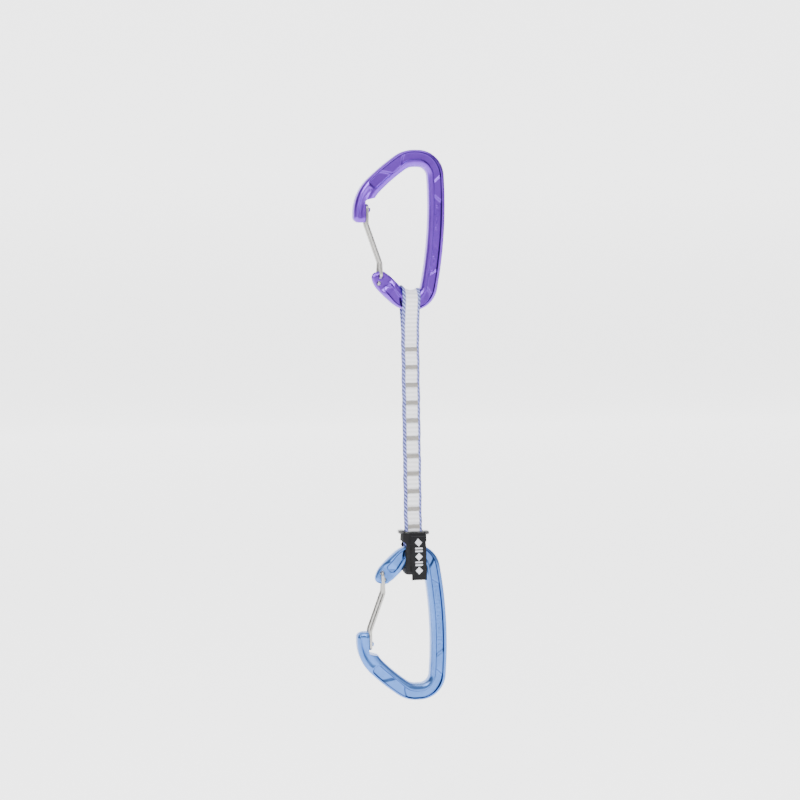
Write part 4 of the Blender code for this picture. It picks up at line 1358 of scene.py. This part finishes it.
# ------------------------------------------------------------------------------- the keeper
@dataclass
class Keeper:
    """The textile sleeve on the lower eye, with its rubber band, its label and its stitches."""

    line: SlingLine
    x: float = -1.1
    half_x: float = 7.75
    waist_x: float = 6.3
    wall: float = 0.6
    bottom: float = -251.7
    neck_y: float = 4.7
    bar_y: float = 8.1
    corner: float = 2.6
    label_x: float = 0.5
    label_width: float = 9.4
    label_length: float = 28.0
    label_drop: float = 0.5
    label_thickness: float = 0.45
    motif_width: float = 4.4
    rows: int = 56
    columns: int = 96
    squareness: float = 4.5
    window_gap: float = 0.4
    window_rise: float = 7.6
    window_corner: float = 0.9
    band_height: float = 4.4
    band_wall: float = 1.0
    band_rise: float = 1.1
    ear_size: Point = (2.0, 3.4, 1.25)

    def half_sizes(self, z: np.ndarray) -> tuple[np.ndarray, np.ndarray]:
        """Half width and half depth of the sleeve at heights."""
        axis = self.line.lower_axis_z
        taper = smoothstep((axis + 5.0 - z) / 4.0)
        wide = self.half_x + (self.waist_x - self.half_x) * taper
        close = np.clip((z - self.bottom) / self.corner, 0.0, 1.0)
        wide = wide - self.corner * 0.9 * (1.0 - np.sqrt(1.0 - (1.0 - close) ** 2))
        belly = smoothstep((self.line.sleeve_top - z) / (self.line.sleeve_top - axis - 3.0))
        deep = self.neck_y + (self.bar_y - self.neck_y) * belly
        shut = np.clip((z - self.bottom) / 7.5, 0.0, 1.0)
        deep = deep - (self.bar_y - 2.2) * (1.0 - np.sqrt(1.0 - (1.0 - shut) ** 2))
        return wide, deep

    def shell(self, inward: float, low: float, high: float) -> np.ndarray:
        """Points of the sleeve's skin, row by row from the bottom.

        Args:
            inward: how far the skin lies inside the sleeve's outer face.
            low: z of the lowest row.
            high: z of the highest row.

        Returns:
            The points.
        """
        rows = np.linspace(low, high, self.rows)
        wide, deep = self.half_sizes(rows)
        turns = np.arange(self.columns) * 2 * math.pi / self.columns
        shape_x, shape_y = (squared(v, 2 / self.squareness) for v in (np.cos(turns), np.sin(turns)))
        x = self.x + np.outer(wide - inward, shape_x)
        y = np.outer(deep - inward, shape_y)
        z = np.repeat(rows[:, None], self.columns, axis=1)
        crease = 0.16 * np.sin(z * 1.15 + 2.0 * np.sin(x * 0.5)) + 0.1 * np.sin(x * 1.4 + z * 0.6)
        y = y + np.sign(y) * crease * smoothstep((high - z) / 4.0) * smoothstep((z - low) / 3.0)
        return np.stack([x, y, z], axis=2).reshape(-1, 3)

    def sleeve(self, material: bpy.types.Material) -> bpy.types.Object:
        """The sleeve: open at the top, with a window on each side for the bar."""
        top, rows, columns = self.line.sleeve_top, self.rows, self.columns
        skin = grid_faces(rows, columns, close_columns=True) + [tuple(range(columns))]
        verts, faces = joined([
            (self.shell(0.0, self.bottom, top), skin),
            (self.shell(self.wall, self.bottom + self.wall, top), skin),
        ])
        outer, inner = (rows - 1) * columns, (2 * rows - 1) * columns
        for k in range(columns):
            following = (k + 1) % columns
            faces.append((outer + k, outer + following, inner + following, inner + k))
        sleeve = make_object("textile_sleeve", verts, faces, material)
        face_out(sleeve)
        axis = self.line.lower_axis_z
        eye_x = self.line.upper_x + self.line.lean
        for sense in (-1.0, 1.0):
            near = eye_x + sense * (self.line.width / 2 + self.window_gap)
            far = self.x + sense * 14.0
            low, high, corner = self.bottom - 2.0, axis + self.window_rise, self.window_corner
            outline = [(near, low), (far, low), (far, high)]
            outline += [(near + sense * corner, high), (near, high - corner)]
            cut(sleeve, slab("window", outline, self.bar_y - 1.0), "DIFFERENCE")
        return sleeve

    def rubber(self, material: bpy.types.Material) -> bpy.types.Object:
        """The band inside the neck and its two ears."""
        top = self.line.sleeve_top
        count, bevel = 72, 0.3
        turns = np.arange(count) * 2 * math.pi / count
        shape_x, shape_y = (squared(v, 0.5) for v in (np.cos(turns), np.sin(turns)))
        wide, deep = self.half_x - self.wall - 0.1, self.neck_y - self.wall - 0.1
        low, high, thick = -self.band_height, self.band_rise, self.band_wall
        section = [(0.0, low), (0.0, high - 0.4), (-bevel, high)]
        section += [(bevel - thick, high), (-thick, high - 0.4), (-thick, low)]
        rings = []
        for outward, rise in section:
            rings.append(np.stack([
                self.x + (wide + outward) * shape_x, (deep + outward) * shape_y, np.full(count, top + rise)
            ], axis=1))
        parts = [(np.vstack(rings), grid_faces(len(section), count, close_rows=True, close_columns=True))]
        for sense, drop in ((-1.0, 0.2), (1.0, 1.0)):
            parts.append(self.ear(self.x + sense * (self.half_x + 0.1), top - drop + 0.9))
        verts, faces = joined(parts)
        return make_object("rubber_band_with_ears", verts, faces, material)

    def ear(self, x: float, z: float) -> tuple[np.ndarray, list]:
        """A rounded lug.

        Args:
            x: its middle.
            z: its middle.

        Returns:
            Its points and faces.
        """
        rows, columns = 17, 32
        rise = np.linspace(-math.pi / 2, math.pi / 2, rows)
        turn = np.arange(columns) * 2 * math.pi / columns
        upright, flat = squared(np.sin(rise), 0.62), squared(np.cos(rise), 0.62)
        size_x, size_y, size_z = self.ear_size
        px = x + size_x * np.outer(flat, squared(np.cos(turn), 0.62))
        py = size_y * np.outer(flat, squared(np.sin(turn), 0.62))
        pz = z + size_z * np.outer(upright, np.ones(columns))
        return np.stack([px, py, pz], axis=2).reshape(-1, 3), grid_faces(rows, columns, close_columns=True)

    def label_face(self, z: np.ndarray) -> np.ndarray:
        """y of the label's back: it lies on the sleeve, then hangs from its fullest place."""
        rows = np.linspace(self.line.sleeve_top, self.line.sleeve_top - self.label_length - 1.0, 120)
        deep = np.maximum.accumulate(self.half_sizes(rows)[1])
        drop = np.clip((self.line.lower_axis_z - rows - 4.0) / 12.0, 0.0, 1.0)
        return -(np.interp(-z, -rows, deep + 0.35 * drop ** 2) + 0.22)

    def label(self, material: bpy.types.Material) -> bpy.types.Object:
        """The woven strip, sewn at its top."""
        top = self.line.sleeve_top - self.label_drop
        z = np.linspace(top - self.label_length, top, 90)
        spread = np.linspace(-self.label_width / 2, self.label_width / 2, 25)
        back = self.label_face(z)
        free = smoothstep((top - 7.0 - z) / 20.0)
        verts = []
        for layer in (self.label_thickness, 0.0):
            curl = np.outer(free, 0.5 * (spread / (self.label_width / 2)) ** 2)
            rib = 0.035 * np.sin(2 * math.pi * z / 0.9)[:, None] * (1.0 if layer else 0.0)
            y = back[:, None] - layer - curl - rib
            x = self.label_x + spread[None, :] + 0.25 * free[:, None]
            verts.append(np.stack([x, y, np.repeat(z[:, None], 25, axis=1)], axis=2))
        points = np.concatenate([verts[0], verts[1][:, ::-1]], axis=1).reshape(-1, 3)
        faces = grid_faces(90, 50, close_columns=True)
        faces += [tuple(range(50)), tuple(range(89 * 50, 90 * 50))]
        label = make_object("woven_label", points, faces, material)
        face_out(label)
        return label

    def motif(self, material: bpy.types.Material) -> bpy.types.Object:
        """Generic satin-stitched diamonds and bars on the label."""
        top = self.line.sleeve_top - self.label_drop - 2.6
        pattern = ((4.4, "diamond"), (1.0, "bar"), (1.0, "bar"), (4.4, "diamond"), (1.0, "bar"), (1.0, "bar"))
        parts = []
        z = top
        pitch = 0.27
        for height, shape in (*pattern, (4.4, "diamond")):
            count = max(int(height / pitch), 3)
            for k in range(count):
                share = (k + 0.5) / count
                half = self.motif_width / 2
                if shape == "diamond":
                    half *= 1.0 - abs(2.0 * share - 1.0)
                half = max(half, 0.25)
                level = z - height * share
                ends = np.linspace(-half, half, 7)
                free = smoothstep((self.line.sleeve_top - 7.5 - level) / 20.0)
                curl = free * 0.5 * (ends / (self.label_width / 2)) ** 2
                face = self.label_face(np.full(7, level)) - self.label_thickness - curl
                arch = 0.1 * (1.0 - (ends / half) ** 4)
                route = np.stack([self.label_x + ends + 0.25 * free, face - arch, np.full(7, level)], axis=1)
                parts.append(tube_mesh(route, 0.15, 6))
            z -= height + 0.75
        verts, faces = joined(parts)
        return make_object("label_motif", verts, faces, material)

    def stitches(self, material: bpy.types.Material) -> bpy.types.Object:
        """The row of thread through the label's top."""
        parts = []
        level = self.line.sleeve_top - self.label_drop - 1.3
        for k in range(7):
            x = self.label_x + (k - 3) * 1.2
            route = []
            for share in np.linspace(0.0, 1.0, 7):
                y = float(self.label_face(np.array([level]))[0]) - self.label_thickness
                route.append((x - 0.42 + 0.84 * share, y - 0.16 * math.sin(math.pi * share) + 0.04, level))
            parts.append(tube_mesh(np.array(route), 0.17, 7))
        verts, faces = joined(parts)
        return make_object("label_stitches", verts, faces, material)

    def build(self) -> None:
        """Build every piece of the keeper and bake its transforms."""
        textile, weave = TEXTILE.make(), LABEL_GROUND.make()
        pieces = (
            (self.sleeve(textile), "keeper_textile", ("keeper_sleeve",)),
            (self.rubber(RUBBER.make()), "keeper_rubber", ("keeper_rubber",)),
            (self.label(weave), "label_weave", ("keeper_label",)),
            (self.motif(LABEL_WHITE.make()), "label_thread", ()),
            (self.stitches(BLACK_THREAD.make()), "label_thread", ("label_stitch",)),
        )
        for piece, slot, nodes in pieces:
            hand_over(piece, slot, nodes)
            self.line.bend_at_eye(piece, Side.LOWER)


# ------------------------------------------------------------------------------- the studio
@dataclass
class Studio:
    """Soft even light from the front and above, as for a catalogue picture."""

    middle: Point = (-9.6, 0.0, -142.7)
    azimuth: float = -12.0
    elevation: float = 5.0
    distance: float = 1165.0
    lens: float = 85.0
    floor_z: float = -420.0
    front: float = 0.7
    sides: float = 0.13
    backdrop_glow: float = 2.2

    def away(self, azimuth: float, elevation: float, distance: float) -> Vector:
        """A point seen from the object's middle, in metres."""
        a, e = math.radians(azimuth), math.radians(elevation)
        offset = Vector((math.sin(a) * math.cos(e), -math.cos(a) * math.cos(e), math.sin(e)))
        return (Vector(self.middle) + offset * distance) * MM

    def aim(self, obj: bpy.types.Object) -> None:
        """Point an object's -Z at the middle."""
        obj.rotation_euler = (Vector(self.middle) * MM - obj.location).to_track_quat("-Z", "Y").to_euler()

    def lamp(self, name: str, place: Vector, size: tuple[float, float], watts: float, colour: Colour) -> None:
        """Add a soft box."""
        light = bpy.data.lights.new(name, "AREA")
        light.shape = "RECTANGLE"
        light.size, light.size_y = size
        light.energy = watts
        light.color = colour
        lamp = bpy.data.objects.new(name, light)
        bpy.context.scene.collection.objects.link(lamp)
        lamp.location = place
        self.aim(lamp)

    def air(self) -> None:
        """Surroundings that are pale before and above the object and dark at both sides."""
        world = bpy.data.worlds.new("studio_air")
        world.use_nodes = True
        tree = world.node_tree
        direction = tree.nodes.new("ShaderNodeTexCoord").outputs["Generated"]
        split = tree.nodes.new("ShaderNodeSeparateXYZ")
        tree.links.new(direction, split.inputs[0])
        sideways = tree.nodes.new("ShaderNodeMath")
        sideways.operation = "ABSOLUTE"
        tree.links.new(split.outputs["X"], sideways.inputs[0])
        fade = tree.nodes.new("ShaderNodeMapRange")
        fade.interpolation_type = "SMOOTHSTEP"
        limits = {"From Min": 0.22, "From Max": 0.72, "To Min": self.front, "To Max": self.sides}
        for name, value in limits.items():
            fade.inputs[name].default_value = value
        tree.links.new(sideways.outputs[0], fade.inputs["Value"])
        tree.links.new(fade.outputs["Result"], tree.nodes["Background"].inputs["Strength"])
        tree.nodes["Background"].inputs["Color"].default_value = (1.0, 1.0, 1.0, 1.0)
        bpy.context.scene.world = world

    def build(self) -> None:
        """Make the backdrop, the lamps, the world and the camera."""
        backdrop = Shader("pale_backdrop")
        backdrop.fixed(Roughness=0.9, Emission_Strength=self.backdrop_glow)
        backdrop.principled.inputs["Base Color"].default_value = (0.86, 0.86, 0.87, 1.0)
        reach, bend = 3000.0, 500.0
        profile = [(-reach, self.floor_z), (reach - bend, self.floor_z)]
        for k in range(1, 13):
            a = math.pi / 2 * k / 12
            profile.append((reach - bend + bend * math.sin(a), self.floor_z + bend * (1.0 - math.cos(a))))
        profile.append((reach, self.floor_z + 2 * reach))
        verts = [(x, y, z) for y, z in profile for x in (-2 * reach, 2 * reach)]
        make_object("backdrop", verts, grid_faces(len(profile), 2), backdrop.material)

        self.air()
        self.lamp("key", self.away(-30.0, 42.0, 900.0), (0.45, 0.45), 8.0, (1.0, 1.0, 1.0))
        self.lamp("fill", self.away(52.0, 8.0, 1000.0), (0.2, 1.0), 3.0, (0.98, 0.99, 1.0))
        self.lamp("top", self.away(10.0, 80.0, 900.0), (0.9, 0.4), 5.0, (1.0, 1.0, 1.0))

        camera_data = bpy.data.cameras.new("camera")
        camera_data.lens = self.lens
        camera_data.sensor_width = 36.0
        camera_data.clip_start = 0.05
        camera = bpy.data.objects.new("camera", camera_data)
        bpy.context.scene.collection.objects.link(camera)
        camera.location = self.away(self.azimuth, self.elevation, self.distance)
        self.aim(camera)
        bpy.context.scene.camera = camera


def main() -> None:
    """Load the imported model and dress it."""
    logging.basicConfig(level=logging.INFO)
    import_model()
    steel = STEEL.make()
    Carabiner(Side.UPPER, VIOLET, "violet_anodised").build(steel)
    Carabiner(Side.LOWER, LIGHT_BLUE, "light_blue_anodised").build(steel)
    line = SlingLine(ForgedRing(Side.UPPER))
    Sling(line).build()
    Keeper(line).build()
    Studio().build()


if __name__ == "__main__":
    main()
